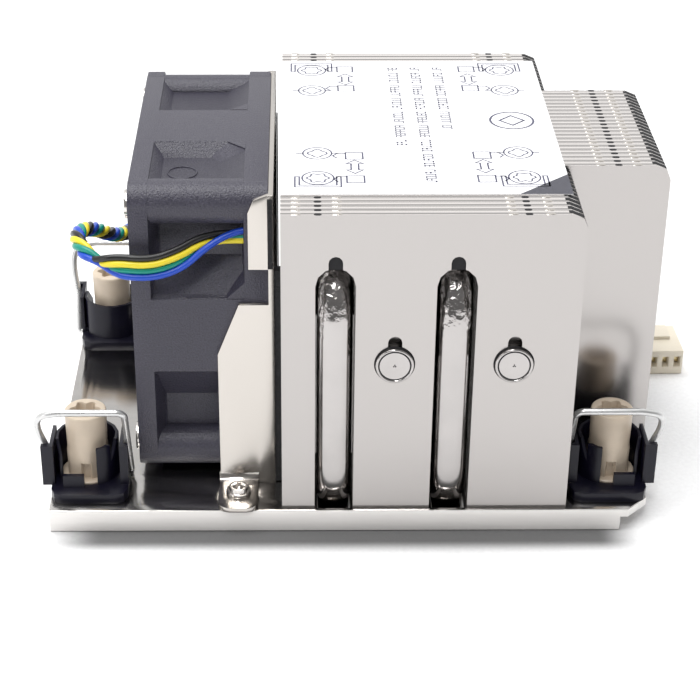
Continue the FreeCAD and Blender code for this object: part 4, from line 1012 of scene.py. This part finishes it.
# section, side, foot and number of rows of each strip
GASKETS = (
    (((-14.15, 28.6), (-13.0, 28.6), (-13.0, 30.7), (-14.15, 30.7)), -1, 5.0, 24),
    (((-15.3, 28.6), (-14.36, 28.6), (-14.36, 31.2), (-15.3, 31.2)), -1, 51.6, 8),
    (((-14.15, 28.6), (-13.9, 28.6), (-13.9, 30.7), (-14.15, 30.7)), 1, 5.0, 27),
)
GASKET_STEP = 2.0
GASKET_SWING = 0.12


def make_gasket():
    """Black foam edging that fills the slit between the fan's bracket and the fins."""
    bm = bmesh.new()
    for section, hand, foot, count in GASKETS:
        rings = []
        for step in range(count):
            swing = GASKET_SWING * noise.noise(Vector((step * 0.9, hand, 0)))
            rings.append(row(bm, [(x, (y + swing) * hand, foot + GASKET_STEP * step) for x, y in section]))
        skin(bm, rings)
        bm.faces.new(rings[0])
        bm.faces.new(rings[-1])
    bmesh.ops.recalc_face_normals(bm, faces=bm.faces)
    gasket = new_object("gasket_strips", bm, FOAM)
    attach(gasket, "cooler")


# ------------------------------------------------------------------ fan lead
LEAD_ROUTE = [
    (-17.7, -27.6, 57.0),
    (-25.0, -27.6, 57.0),
    (-33.0, -33.5, 51.8),
    (-44.5, -34.2, 52.6),
    (-51.2, -26.5, 55.4),
    (-50.2, -13.5, 52.0),
    (-45.4, 0.5, 42.6),
    (-44.0, 22.0, 35.0),
    (-41.5, 36.5, 29.5),
    (-36.5, 46.5, 12.0),
    (-27.0, 52.5, 1.6),
    (0.0, 50.5, 1.6),
    (30.0, 52.5, 1.6),
    (56.0, 52.0, 1.6),
    (69.0, 44.5, 2.9),
    (69.4, 30.2, 2.9),
]
# all in metres: a wire's thickness, its distance from the middle once twisted and the length of a twist,
# the stretches over which the twist begins and the wires fan out, and how far they stand forward there
WIRE_THICK = 0.00128
TWIST_RADIUS = 0.00088
LAY = 0.0125
LOOSE = (0.024, 0.036)
FAN_OUT = 0.018
FIRST_FRONT = -0.0011
ODD_FRONT = 0.0003
# height of each wire at the exit and once fanned out, in metres
STACK = ((0.0010, -0.0008), (-0.0003, 0.0004), (-0.0012, 0.0017), (0.0002, 0.0029))


def route_points(points):
    """Points along the smooth line that has the route's points as its control points."""
    data = bpy.data.curves.new("route", "CURVE")
    data.dimensions = "3D"
    data.resolution_u = 16
    spline = data.splines.new("NURBS")
    spline.points.add(len(points) - 1)
    for control, spot in zip(spline.points, points):
        control.co = (*(Vector(spot) * MM), 1)
    spline.order_u = 3
    spline.use_endpoint_u = True
    guide = bpy.data.objects.new("route", data)
    mesh = bpy.data.meshes.new_from_object(guide)
    line = [vertex.co.copy() for vertex in mesh.vertices]
    bpy.data.objects.remove(guide)
    bpy.data.meshes.remove(mesh)
    return line


def strand_offset(strand, travelled):
    """Where a wire lies across the bundle: fanned out at the exit, twisted further on."""
    turn = 2 * math.pi * (strand / 4 - max(0, travelled - LOOSE[0]) / LAY) + math.pi
    twisted = (TWIST_RADIUS * math.cos(turn), TWIST_RADIUS * math.sin(turn))
    start, stop = STACK[strand]
    share = ease(travelled / FAN_OUT)
    front = ODD_FRONT * (strand % 2) if strand else FIRST_FRONT * math.sin(math.pi * share)
    fanned = (start + (stop - start) * share, front)
    mix = ease((travelled - LOOSE[0]) / (LOOSE[1] - LOOSE[0]))
    return tuple(a * (1 - mix) + b * mix for a, b in zip(fanned, twisted))


def make_lead():
    """Four insulated wires twisted together, lying looser where they leave the fan."""
    line = route_points(LEAD_ROUTE)
    travelled = [0.0]
    for start, stop in zip(line, line[1:]):
        travelled.append(travelled[-1] + (stop - start).length)
    bm = bmesh.new()
    for strand in range(4):
        path = []
        for (here, side, other), way in zip(walk(line), travelled):
            high, deep = strand_offset(strand, way)
            path.append(here + side * high + other * deep)
        sweep(bm, path, WIRE_THICK / 2, sides=10, slot=strand)
    lead = new_object("fan_lead_wires", bm, *WIRES)
    smooth(lead, 60)
    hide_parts("fan_lead")
    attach(lead, "cooler")


make_camera()
make_world()
make_lights()
make_floor()
dress_all()
for pipe_number, pipe_place in enumerate(PIPES, 1):
    make_pipe(pipe_number, *pipe_place)
for corner_name, corner_hands in CORNERS.items():
    make_bail(corner_name, *corner_hands)
    make_nut(corner_name, *corner_hands)
make_label_marks()
make_folds()
make_pipe_ends()
make_notch_shades()
make_fan_details()
make_gasket()
make_lead()
